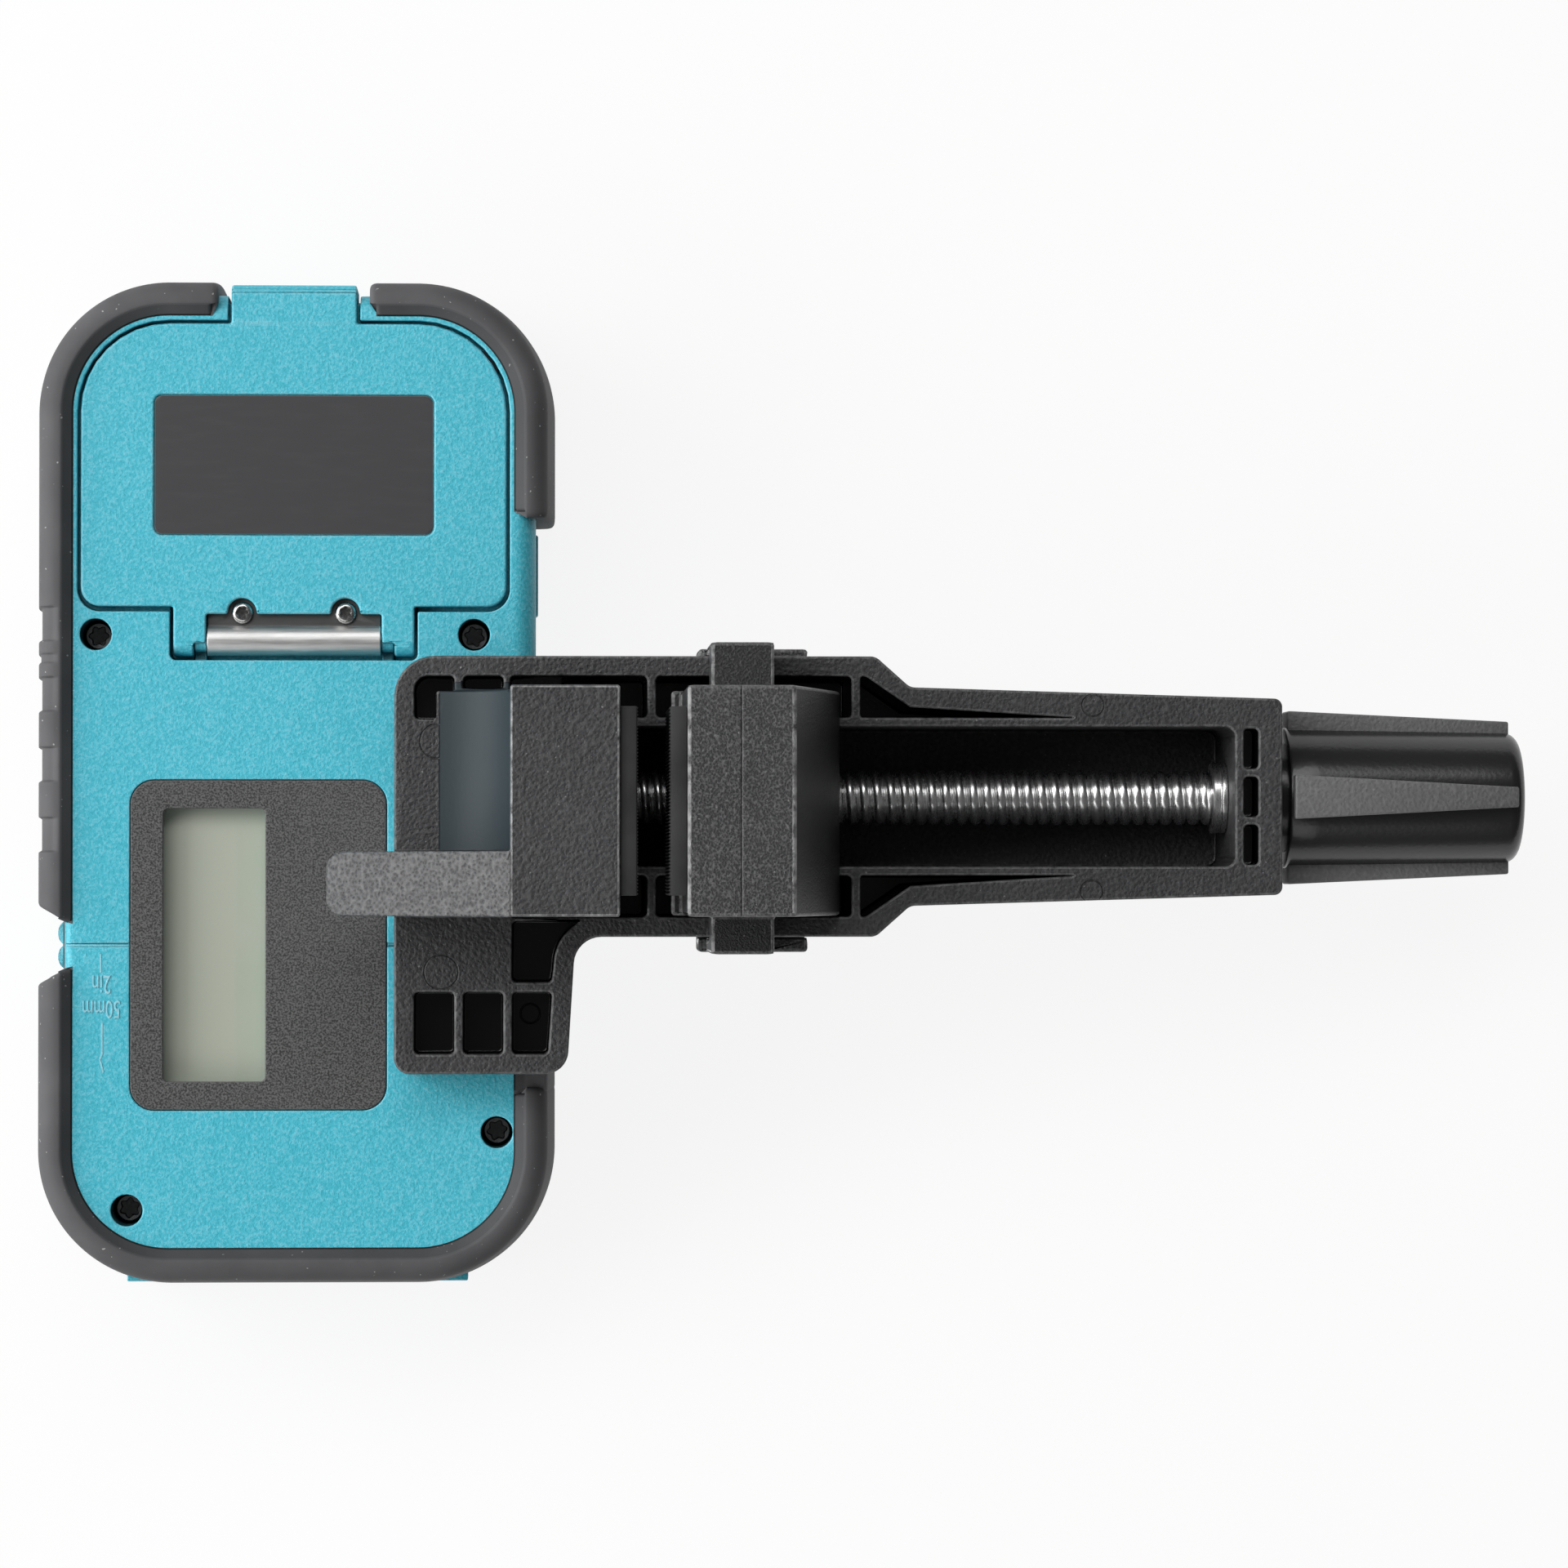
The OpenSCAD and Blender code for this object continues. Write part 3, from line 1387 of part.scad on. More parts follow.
module moving_jaw() {
    top_y = clamp_y + arm_half + run_gap;
    low_y = clamp_y - arm_half - run_gap;
    shelf_end_x = shelf_x + shelf_len;
    cheek_end_x = cheek_x + cheek_len;
    color(clamp_black) seat_row() difference() {
        union() {
            across(jaw_y - jaw_w / 2, jaw_w)
                polygon([
                    [moving_x - sill_in, moving_z],
                    [moving_base_x, moving_z],
                    [moving_top_x, jaw_top_z],
                    [moving_x, jaw_top_z],
                    [moving_x, moving_z + sill_h],
                    [moving_x - sill_in, moving_z + sill_h]]);
            block([keel_x, clamp_y - keel_half, keel_z],
                [keel_x + keel_len, clamp_y + keel_half, moving_z + over]);
            block([shelf_x, low_y - cheek_low_t, moving_z],
                [shelf_end_x, top_y + cheek_up_t, rim_z + shelf_h]);
            block([shelf_x, top_y, cheek_low_z],
                [shelf_end_x, top_y + cheek_up_t, rim_z + shelf_h]);
            block([shelf_x, low_y - cheek_low_t, cheek_low_z],
                [shelf_end_x, low_y, rim_z + shelf_h]);
            block([cheek_x, top_y, cheek_low_z],
                [cheek_end_x, top_y + cheek_up_t, cheek_top_z]);
            block([cheek_x, low_y - cheek_low_t, cheek_low_z],
                [cheek_end_x, low_y, cheek_top_z]);
            block([cheek_x, top_y - lip_in, cheek_low_z],
                [cheek_end_x, top_y + cheek_up_t, cheek_low_z + lip_t]);
            block([cheek_x, low_y - cheek_low_t, cheek_low_z],
                [cheek_end_x, low_y + lip_in, cheek_low_z + lip_t]);
        }
        rod_x(keel_x - over, keel_len + 2 * over, clamp_y, axis_z, keel_bore_r);
        block([nut_x - nut_gap, clamp_y - nut_half - nut_gap, 0],
            [nut_x + nut_t + nut_gap, clamp_y + nut_half + nut_gap, axis_z + nut_half + nut_gap]);
        block([moving_x + moving_jaw_t / 2 - seam_groove / 2, -body_h, jaw_top_z - seam_groove],
            [moving_x + moving_jaw_t / 2 + seam_groove / 2, body_h, jaw_top_z + over]);
    }
}

module lead_nut() {
    color(brass) seat_row() difference() {
        block([nut_x, clamp_y - nut_half, axis_z - nut_half],
            [nut_x + nut_t, clamp_y + nut_half, axis_z + nut_half]);
        rod_x(nut_x - over, nut_t + 2 * over, clamp_y, axis_z, nut_bore_r);
    }
}

// Ridges at the thread's real pitch, from the journal end to the collar
function thread_profile() =
    let (low = screw_r - thread_h, radii = [low, screw_r, screw_r, low])
    [for (i = [0 : thread_turns - 1], j = [0 : 3])
        [radii[j], thread_x + (i + thread_shares[j]) * thread_pitch]];

module lead_screw() {
    low = screw_r - thread_h;
    tail_x = arm_end_x + knob_face_gap + knob_bore_len - tail_gap;
    color(steel) seat_row()
        translate([0, clamp_y, axis_z])
            rotate([0, 90, 0])
                rotate_extrude()
                    polygon(concat(
                        [[0, channel_x - journal_len],
                            [journal_r, channel_x - journal_len],
                            [journal_r, thread_x - seat]],
                        thread_profile(),
                        [[low, collar_x],
                            [collar_r, collar_x],
                            [collar_r, collar_x + collar_t],
                            [journal_r, collar_x + collar_t],
                            [journal_r, tail_x],
                            [0, tail_x]]));
}

module thrust_washer() {
    color(steel) seat_row() difference() {
        rod_x(washer_x, washer_t, clamp_y, axis_z, collar_r);
        rod_x(washer_x - over, washer_t + 2 * over, clamp_y, axis_z, journal_r + journal_gap);
    }
}

module knob_grips() {
    start = knob_x + grip_start;
    end = knob_end_x - grip_end_gap;
    intersection() {
        translate([start, 0, 0])
            rotate([0, 90, 0])
                cylinder(r1 = grip_r, r2 = grip_end_r, h = end - start);
        union()
            for (i = [0, 1])
                rotate([90 * i, 0, 0])
                    translate([0, 0, -2 * grip_r])
                        linear_extrude(4 * grip_r)
                            polygon([
                                [start - over, -grip_w / 2], [end + over, -grip_end_w / 2],
                                [end + over, grip_end_w / 2], [start - over, grip_w / 2]]);
    }
}

module clamp_knob() {
    color(clamp_black) seat_row()
        translate([0, clamp_y, axis_z])
            difference() {
                union() {
                    rotate([0, 90, 0])
                        rotate_extrude()
                            polygon(concat(
                                [[0, arm_end_x + knob_face_gap], [knob_neck_r, arm_end_x + knob_face_gap],
                                    [knob_neck_r, knob_x], [knob_r, knob_x]],
                                arc(knob_end_r - knob_dome, knob_end_x - knob_dome_in, knob_dome, 0, 60),
                                [[0, knob_end_x]]));
                    knob_grips();
                }
                rod_x(arm_end_x, knob_face_gap + knob_bore_len, 0, 0, journal_r + seat);
            }
}

front_case();
rear_case();
case_gasket();
case_screws();
bumper_upper_left();
bumper_upper_right();
bumper_lower();
battery_door();
door_seal();
label_plate();
hinge_leaf();
hinge_pin();
hinge_screws();
rear_panel();
rear_lcd();
lcd_frame();
front_panel();
front_lcd();
sensor_window();
photodiodes();
sensor_board();
main_board();
buzzer();
key_power();
key_sound();
key_accuracy();
key_switches();
battery();
battery_contacts();
clamp_bracket();
fixed_pad();
moving_jaw();
moving_pad();
lead_nut();
lead_screw();
thrust_washer();
clamp_knob();
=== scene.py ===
"""Looks of a laser receiver and its rod clamp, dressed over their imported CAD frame."""

import math

import bmesh
import bpy
from bpy.props import FloatProperty, FloatVectorProperty, IntProperty, PointerProperty
from mathutils import Matrix, Vector
from mathutils.bvhtree import BVHTree


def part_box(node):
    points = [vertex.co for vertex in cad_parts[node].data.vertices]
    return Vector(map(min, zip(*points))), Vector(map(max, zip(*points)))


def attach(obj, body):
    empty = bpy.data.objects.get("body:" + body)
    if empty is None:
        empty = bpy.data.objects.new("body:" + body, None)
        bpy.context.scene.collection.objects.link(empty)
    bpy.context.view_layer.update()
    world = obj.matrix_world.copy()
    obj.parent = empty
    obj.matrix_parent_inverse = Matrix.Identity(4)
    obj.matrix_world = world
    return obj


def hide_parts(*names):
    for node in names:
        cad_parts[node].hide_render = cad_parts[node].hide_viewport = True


bl_info = {
    "name": "Laser receiver with rod clamp",
    "version": (1, 0, 0),
    "blender": (4, 5, 0),
    "location": "View3D > Sidebar > Receiver",
    "description": "Dresses the packed frame of a laser receiver and its rod clamp",
    "category": "Object",
}

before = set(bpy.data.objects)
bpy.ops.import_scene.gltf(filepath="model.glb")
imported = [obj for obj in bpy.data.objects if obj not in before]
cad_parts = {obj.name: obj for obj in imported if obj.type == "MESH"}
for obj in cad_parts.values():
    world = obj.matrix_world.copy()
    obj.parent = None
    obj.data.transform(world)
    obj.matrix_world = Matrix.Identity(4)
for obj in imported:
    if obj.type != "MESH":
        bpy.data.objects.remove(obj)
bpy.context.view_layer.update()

MM = 0.001
CASE_LOW, CASE_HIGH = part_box("rear_case")
CASE_X = (CASE_LOW.x + CASE_HIGH.x) / 2
REAR_Z = CASE_HIGH.z
CASE_FRONT_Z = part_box("front_case")[0].z
SCREW_LOW, SCREW_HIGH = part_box("lead_screw")
SCREW_Y = (SCREW_LOW.y + SCREW_HIGH.y) / 2
SCREW_Z = (SCREW_LOW.z + SCREW_HIGH.z) / 2
GRADE_Y = sum(corner.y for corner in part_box("sensor_window")) / 2
LABEL_EDGE, KEY_EDGE, CAN_EDGE = 0.08 * MM, 0.45 * MM, 0.6 * MM
WELD, SLIVER = 2e-6, 1e-6
SHARP = math.radians(32)


def linear(red, green, blue):
    """Linear colour of an eight-bit screen colour."""
    def one(v):
        v /= 255
        return v / 12.92 if v <= 0.04045 else ((v + 0.055) / 1.055) ** 2.4
    return (one(red), one(green), one(blue))


def spot(x, y, z):
    """A point measured in millimetres from the middle of the case, in the frame's metres."""
    return Vector((CASE_X + x * MM, y * MM, z * MM))


def shade(name, description, default):
    """A colour of the panel."""
    return FloatVectorProperty(name=name, description=description, subtype="COLOR", min=0, max=1,
                               default=default)


def length(name, description, default):
    """A length of the panel, in metres."""
    return FloatProperty(name=name, description=description, unit="LENGTH", min=0, precision=5,
                         default=default)


class ReceiverColours(bpy.types.PropertyGroup):
    """Colours of the finishes."""

    teal: shade("Teal", "Moulded case and battery door", linear(68, 194, 215))
    rubber: shade("Rubber", "Bumpers and jaw pads", linear(84, 84, 86))
    clamp: shade("Clamp", "Bracket, jaw and knob", linear(51, 51, 53))
    panel: shade("Panel", "Plates round the displays", linear(60, 60, 60))
    label: shade("Label", "Bare plate in the door", linear(60, 60, 62))
    display: shade("Display", "Glass of the displays", linear(177, 182, 167))
    window: shade("Window", "Tinted beam window", linear(58, 18, 22))
    key: shade("Key", "Front keys", linear(120, 124, 128))
    steel: shade("Steel", "Hinge and lead screw", (0.62, 0.62, 0.61))
    black_steel: shade("Black steel", "Case screws", (0.3, 0.3, 0.305))
    brass: shade("Brass", "Nut in the moving jaw", (0.62, 0.44, 0.17))
    board: shade("Board", "Circuit boards", linear(22, 82, 50))
    can: shade("Can", "Battery jacket", linear(52, 54, 58))


class ReceiverSizes(bpy.types.PropertyGroup):
    """Rounding, grain and thread sizes."""

    case_edge: length("Case edge", "Rounding of the case openings", 0.00022)
    door_edge: length("Door edge", "Rounding of the door", 0.00035)
    case_corner: length("Case corner", "Corner radius of the case outline", 0.01715)
    case_bend: length("Case bend", "Rounding of the case edges under the rubber", 0.0032)
    rubber_bend: length("Rubber bend", "Rounding of the outer rubber edge", 0.0029)
    rubber_crown: length("Rubber crown", "How far the rubber's flank falls back toward the rear", 0.0011)
    rubber_foot: length("Rubber foot", "Rounding of the rubber edge beside the front face", 0.0036)
    rubber_band: length("Rubber band", "Width of the bevelled inner band of the rubber", 0.0017)
    panel_edge: length("Panel edge", "Rounding of the display plates", 0.00018)
    bracket_edge: length("Bracket edge", "Rounding of the bracket", 0.00035)
    bracket_corner: length("Bracket corner", "Rounding of the bracket's upright corners", 0.0008)
    jaw_edge: length("Jaw edge", "Rounding of the moving jaw", 0.0005)
    jaw_corner: length("Jaw corner", "Rounding of the moving jaw's upright corners", 0.0009)
    knob_edge: length("Knob edge", "Rounding of the knob ribs", 0.0003)
    metal_edge: length("Metal edge", "Rounding of the metal pieces", 0.00015)
    teal_grain: length("Teal grain", "Spark grain of the case", 0.00042)
    leather_grain: length("Leather grain", "Moulded leather grain of the clamp", 0.00052)
    fine_grain: length("Fine grain", "Grain of plates and rubber", 0.00028)
    thread_pitch: length("Thread pitch", "Advance of the lead screw for one turn", 0.002)
    thread_depth: length("Thread depth", "Depth of the lead screw thread", 0.0009)
    tooth_count: IntProperty(name="Teeth", description="Teeth on one jaw pad", default=55, min=1)
    lens: FloatProperty(name="Lens", description="Focal length of the camera", default=138.6, unit="CAMERA")


class Value:
    """A node's socket in Python sums: an expression on values adds its Math nodes."""

    def __init__(self, tree, socket):
        self.tree, self.socket = tree, socket

    def out(self, name):
        """Another output of the same node."""
        return Value(self.tree, self.socket.node.outputs[name])

    def math(self, operation, first, second=0.0, clamp=False):
        """A Math node on one or two values."""
        return self.tree.add("ShaderNodeMath", {"operation": operation, "use_clamp": clamp},
                             {0: first, 1: second})

    def __add__(self, other):
        return self.math("ADD", self, other)

    def __sub__(self, other):
        return self.math("SUBTRACT", self, other)

    def __rsub__(self, other):
        return self.math("SUBTRACT", other, self)

    def __mul__(self, other):
        return self.math("MULTIPLY", self, other)

    def __truediv__(self, other):
        return self.math("DIVIDE", self, other)

    def __pow__(self, other):
        return self.math("POWER", self, other)

    def __mod__(self, other):
        return self.math("FLOORED_MODULO", self, other)

    def __abs__(self):
        return self.math("ABSOLUTE", self)

    __radd__, __rmul__ = __add__, __mul__

    def above(self, edge, soft):
        """Zero below edge, one above edge + soft, straight between."""
        return self.math("MULTIPLY", self - edge, 1 / soft, clamp=True)

    def near(self, half, soft=0.0001):
        """One within half of zero, falling to zero over soft."""
        return 1 - abs(self).above(half, soft)


class Tree:
    """Adds nodes to a shader or geometry tree."""

    def __init__(self, tree):
        self.tree = tree

    def add(self, kind, settings=None, sockets=None, out=0):
        """One node of that kind, its settings first, then values or links for its sockets."""
        node = self.tree.nodes.new(kind)
        for name, value in (settings or {}).items():
            setattr(node, name, value)
        for key, value in (sockets or {}).items():
            if isinstance(value, Value):
                self.tree.links.new(value.socket, node.inputs[key])
            else:
                node.inputs[key].default_value = value
        return Value(self, node.outputs[out]) if node.outputs else node

    def mix(self, share, first, second):
        """Colour between two colours."""
        full = [c if isinstance(c, Value) else (*c, 1) for c in (first, second)]
        return self.add("ShaderNodeMix", {"data_type": "RGBA"}, {0: share, 6: full[0], 7: full[1]}, out=2)

    def place(self, stretch=(1, 1, 1), shift=(0, 0, 0)):
        """Object coordinates, stretched and moved."""
        here = self.add("ShaderNodeTexCoord", out="Object")
        return self.add("ShaderNodeMapping", None, {"Vector": here, "Location": shift, "Scale": stretch})

    def axis(self, where, name):
        """One coordinate of a place."""
        return self.add("ShaderNodeSeparateXYZ", None, {"Vector": where}, out=name)

    def noise(self, where, size, detail=3.0, rough=0.55):
        """Noise whose lumps are about size across."""
        return self.add("ShaderNodeTexNoise", None,
                        {"Vector": where, "Scale": 1 / size, "Detail": detail, "Roughness": rough})

    def cells(self, where, size, feature="SMOOTH_F1", out="Distance"):
        """Cells about size across."""
        return self.add("ShaderNodeTexVoronoi", {"feature": feature}, {"Vector": where, "Scale": 1 / size},
                        out=out)

    def layer(self, name):
        """A face layer: edge is one on rounded edges; the painted-shade layer is one in pockets and seams,
        where shade is painted into the colour.
        """
        return self.add("ShaderNodeAttribute", {"attribute_name": name}, out="Fac")

    def inside(self, where, low, high, soft=0.0002):
        """One inside a box, with soft sides."""
        share = None
        for i, axis in enumerate("XYZ"):
            at = self.axis(where, axis)
            part = at.above(low[i], soft) * (1 - at.above(high[i], soft))
            share = part if share is None else share * part
        return share

    def bump(self, height, depth, strength):
        """Normals bent by a height whose full range is depth."""
        return self.add("ShaderNodeBump", None, {"Height": height, "Distance": depth, "Strength": strength})


def material(name):
    """A new material with its tree and its Principled shader."""
    made = bpy.data.materials.new(name)
    made.use_nodes = True
    made.node_tree.nodes.clear()
    tree = Tree(made.node_tree)
    shader = tree.add("ShaderNodeBsdfPrincipled")
    tree.add("ShaderNodeOutputMaterial", None, {"Surface": shader})
    return made, tree, shader.socket.node


def feed(tree, shader, **sockets):
    """Links values to the shader's sockets, or sets them."""
    for name, value in sockets.items():
        socket = shader.inputs[name.replace("_", " ")]
        if isinstance(value, Value):
            tree.tree.links.new(value.socket, socket)
        else:
            socket.default_value = (*value, 1) if hasattr(value, "__len__") and len(value) == 3 else value


def lighter(colour, share):
    """A colour moved toward white by a share of the way."""
    return tuple(c + (1 - c) * share for c in colour)


def darker(colour, share):
    """A colour moved toward black by a share of the way."""
    return tuple(c * (1 - share) for c in colour)


def spark_plastic(name, colour, grain, rough=0.46, depth=0.00015):
    """Moulded plastic with a fine spark-eroded grain."""
    made, tree, shader = material(name)
    where = tree.place()
    fine = tree.noise(where, grain, 2.0, 0.6)
    broad = tree.noise(where, 0.03, 2.0)
    edge = tree.layer("edge") * tree.noise(where, 0.004, 3.0).above(0.35, 0.3)
    tone = tree.mix(broad.above(0.3, 0.4) * 0.5, darker(colour, 0.05), lighter(colour, 0.02))
    tone = tree.mix(fine.above(0.47, 0.26) * 0.4, tone, lighter(colour, 0.3))
    tone = tree.mix((1 - fine).above(0.47, 0.26) * 0.5, tone, darker(colour, 0.34))
    tone = tree.mix(edge * 0.3, tone, lighter(colour, 0.3))
    # Painted shade: faces marked in pockets and seams are darkened.
    tone = tree.mix(tree.layer("painted_shade") * 0.9, tone, darker(colour, 0.92))
    feed(tree, shader, Base_Color=tone, Roughness=rough + (fine - 0.5) * 0.25 - edge * 0.08,
         Normal=tree.bump(fine, depth, 0.75))
    return made


def leather_plastic(name, colour, grain, wear_and_highlight, rough=0.5, depth=0.0003, fine=0.35, grain_and_glint=0.06, rings=(),
                    coarse=None, plain=None, seam=None):
    """Black plastic with a pebbled leather grain, pale edges that are partly wear and partly painted
    highlight, and painted shade in pockets. It may have rings where ejector pins stood, a coarse zone
    painted lighter as if lit, a plain zone with a painted bluish reflection of the teal case, and a parting
    seam at seam.x that shows above seam.z, with a painted highlight along its lip."""
    made, tree, shader = material(name)
    where = tree.place()
    warp = tree.noise(where, grain * 1.6, 2.0)
    bent = tree.add("ShaderNodeVectorMath", {"operation": "MULTIPLY_ADD"},
                    {0: warp.out("Color"), 1: (grain * 0.8,) * 3, 2: where})
    pebble = tree.cells(bent, grain)
    grit = tree.noise(where, grain * 0.4, 2.0)
    relief = pebble * (1 - fine) + grit * fine
    rugged = tree.inside(where, *coarse) if coarse else 0.0
    sleek = tree.inside(where, *plain) if plain else 0.0
    if plain:
        relief = relief * (1 - sleek * 0.9)
    broad = tree.noise(where, 0.02, 2.0)
    edge = tree.layer("edge") * tree.noise(where, 0.0016, 3.0).above(0.3, 0.3)
    dust = tree.noise(where, 0.0005, 0.0).above(0.83, 0.02)
    painted_shade = tree.layer("painted_shade")
    relief = relief * (1 - painted_shade * 0.95)
    tone = tree.mix(broad.above(0.3, 0.4), darker(colour, 0.12), lighter(colour, 0.012))
    # Grain tops lighter: partly the grain's own tone, partly a painted glint.
    tone = tree.mix(relief.above(0.42, 0.3) * 0.6, tone, lighter(colour, grain_and_glint))
    # The pale edges are partly wear and partly a painted highlight where the rounded edges catch the light.
    tone = tree.mix(edge * 0.75 + dust * 0.4, tone, lighter(colour, wear_and_highlight))
    # Painted light: the coarse zone, the brace that slopes toward the left lamp, is painted lighter, its
    # grain tops most.
    if coarse:
        pale = tree.mix(relief.above(0.28, 0.36), lighter(colour, 0.02), lighter(colour, 0.125))
        tone = tree.mix(rugged, tone, pale)
    if seam:
        across = tree.axis(where, "X") - seam.x
        high = tree.axis(where, "Z").above(seam.z, 0.0005)
        groove = across.near(0.00005) * high
        lip = (across - 0.0002).near(0.00006) * high
        relief = relief - groove * 0.7
        tone = tree.mix(groove * 0.6, tone, darker(colour, 0.75))
        # Painted highlight along the seam's lip, beside its dark groove.
        tone = tree.mix(lip * grit.above(0.35, 0.3) * 0.4, tone, lighter(colour, wear_and_highlight * 0.6))
    for middle, radius in rings:
        away = tree.add("ShaderNodeVectorMath", {"operation": "MULTIPLY_ADD"},
                        {0: where, 1: (1, 1, 0), 2: (-middle.x, -middle.y, 0)})
        away = tree.add("ShaderNodeVectorMath", {"operation": "LENGTH"}, {0: away}, out="Value")
        line = (away - radius).near(0.00004) * (1 - sleek)
        relief = relief - line * 0.8
        tone = tree.mix(line * 0.45, tone, darker(colour, 0.7))
    # Painted reflection: the plain zone, the scoop, is tinted bluish as if it mirrored the teal case.
    if plain:
        tone = tree.mix(sleek, tone, (colour[0] * 0.5, colour[1] * 0.9, colour[2] * 1.05))
    # Painted shade: faces marked in pockets, on the jaw's slope and on the knob's body are darkened.
    tone = tree.mix(painted_shade, tone, darker(colour, 0.95))
    feed(tree, shader, Base_Color=tone,
         Roughness=rough + (relief - 0.4) * 0.2 - edge * 0.1 - painted_shade * 0.2 + sleek * 0.2,
         Normal=tree.bump(relief * (1 + rugged * 1.2), depth, 0.8))
    return made


def soft_rubber(name, colour, grain, specks=0.6):
    """Matt rubber with a dusting of pale specks."""
    made, tree, shader = material(name)
    where = tree.place()
    fine = tree.noise(where, grain, 3.0, 0.65)
    broad = tree.noise(where, 0.012, 3.0)
    edge = tree.layer("edge") * tree.noise(where, 0.005, 3.0).above(0.4, 0.3)
    dust = tree.noise(where, 0.0005, 0.0).above(0.83, 0.015)
    tone = tree.mix(broad.above(0.35, 0.3), darker(colour, 0.1), lighter(colour, 0.02))
    tone = tree.mix(edge * 0.35, tone, lighter(colour, 0.12))
    tone = tree.mix(dust * specks, tone, (0.55, 0.55, 0.54))
    # Painted shade: faces marked beside the case and in pockets are darkened.
    tone = tree.mix(tree.layer("painted_shade"), tone, darker(colour, 0.9))
    feed(tree, shader, Base_Color=tone, Roughness=0.72 + (broad - 0.5) * 0.2,
         Normal=tree.bump(fine, 0.00004, 0.5))
    shader.inputs["Specular IOR Level"].default_value = 0.35
    return made


def grained_panel(name, colour, grain, rough=0.55):
    """Charcoal plate with a sandy print."""
    made, tree, shader = material(name)
    where = tree.place()
    sand = tree.noise(where, grain, 1.0, 0.7)
    broad = tree.noise(where, 0.025, 2.0)
    edge = tree.layer("edge")
    tone = tree.mix(sand.above(0.38, 0.24), darker(colour, 0.5), lighter(colour, 0.08))
    tone = tree.mix(broad.above(0.4, 0.3) * 0.12, tone, lighter(colour, 0.1))
    tone = tree.mix(edge * 0.3, tone, lighter(colour, 0.1))
    feed(tree, shader, Base_Color=tone, Roughness=rough + (sand - 0.5) * 0.3,
         Normal=tree.bump(sand, 0.00005, 0.6))
    return made


def label_print(name, colour):
    """Smooth printed plate."""
    made, tree, shader = material(name)
    where = tree.place()
    weave = tree.noise(where, 0.0004, 2.0)
    rub = tree.noise(tree.place(stretch=(1, 6, 1)), 0.006, 4.0)
    tone = tree.mix(rub.above(0.5, 0.3) * 0.2, colour, lighter(colour, 0.03))
    tone = tree.mix(tree.layer("edge") * 0.5, tone, lighter(colour, 0.15))
    feed(tree, shader, Base_Color=tone, Roughness=0.45 + (rub - 0.5) * 0.1,
         Normal=tree.bump(weave, 0.00001, 0.4))
    return made


def brushed_steel(name, colour, stretch, rough=0.24, line=0.0004):
    """Bright steel with draw lines along one axis."""
    made, tree, shader = material(name)
    drawn = tree.noise(tree.place(stretch=stretch), line, 4.0, 0.6)
    stain = tree.noise(tree.place(), 0.004, 3.0)
    edge = tree.layer("edge")
    tone = tree.mix(drawn.above(0.35, 0.3), darker(colour, 0.16), lighter(colour, 0.1))
    tone = tree.mix(stain.above(0.55, 0.2) * 0.25, tone, darker(colour, 0.25))
    tone = tree.mix(edge * 0.4, tone, lighter(colour, 0.25))
    # Painted shade: marked faces, such as the hinge leaf's flat and the screw sockets, are darkened.
    tone = tree.mix(tree.layer("painted_shade"), tone, darker(colour, 0.85))
    feed(tree, shader, Base_Color=tone, Metallic=1.0,
         Roughness=rough + (drawn - 0.5) * 0.2 + (stain - 0.5) * 0.12,
         Normal=tree.bump(drawn, 0.00001, 0.4))
    return made


def display_glass(name, colour, middle, half):
    """Unlit display: pale polariser, a painted shadow of the bezel along its left side and a faint green
    cast to the right.
    """
    made, tree, shader = material(name)
    where = tree.place(shift=tuple(-c for c in middle))
    across, along = tree.axis(where, "X") / half[0], tree.axis(where, "Y") / half[1]
    cloud = tree.noise(where, 0.011, 2.0)
    fine = tree.noise(where, 0.0003, 2.0)
    # Painted shadow: brownish shade that the bezel casts on the left side of the glass.
    bezel_shadow = (-0.86 - across).above(0.0, 0.1)
    green = across.above(0.28, 0.1) * cloud.above(0.3, 0.5)
    tone = tree.mix(green * 0.5, colour, (colour[0] * 0.8, colour[1] * 0.95, colour[2] * 0.82))
    tone = tree.mix(along.above(-0.9, 1.8) * 0.25, tone, lighter(colour, 0.1))
    tone = tree.mix(bezel_shadow * 0.45, tone, (0.4, 0.33, 0.24))
    tone = tree.mix(fine * 0.05, tone, (0.9, 0.9, 0.9))
    feed(tree, shader, Base_Color=tone, Roughness=0.3 + (fine - 0.5) * 0.1,
         Normal=tree.bump(cloud, 0.00002, 0.2))
    shader.inputs["Coat Weight"].default_value = 0.4
    shader.inputs["Coat Roughness"].default_value = 0.08
    return made


def tinted_window(name, colour):
    """Dark red gloss plastic that lets the beam through."""
    made, tree, shader = material(name)
    where = tree.place()
    flow = tree.noise(where, 0.015, 2.0)
    scuff = tree.noise(tree.place(stretch=(1, 14, 1)), 0.004, 4.0)
    tone = tree.mix(flow.above(0.35, 0.3), darker(colour, 0.35), colour)
    feed(tree, shader, Base_Color=tone, Roughness=0.09 + scuff.above(0.55, 0.2) * 0.12,
         Normal=tree.bump(flow, 0.00002, 0.15))
    shader.inputs["Coat Weight"].default_value = 0.6
    return made


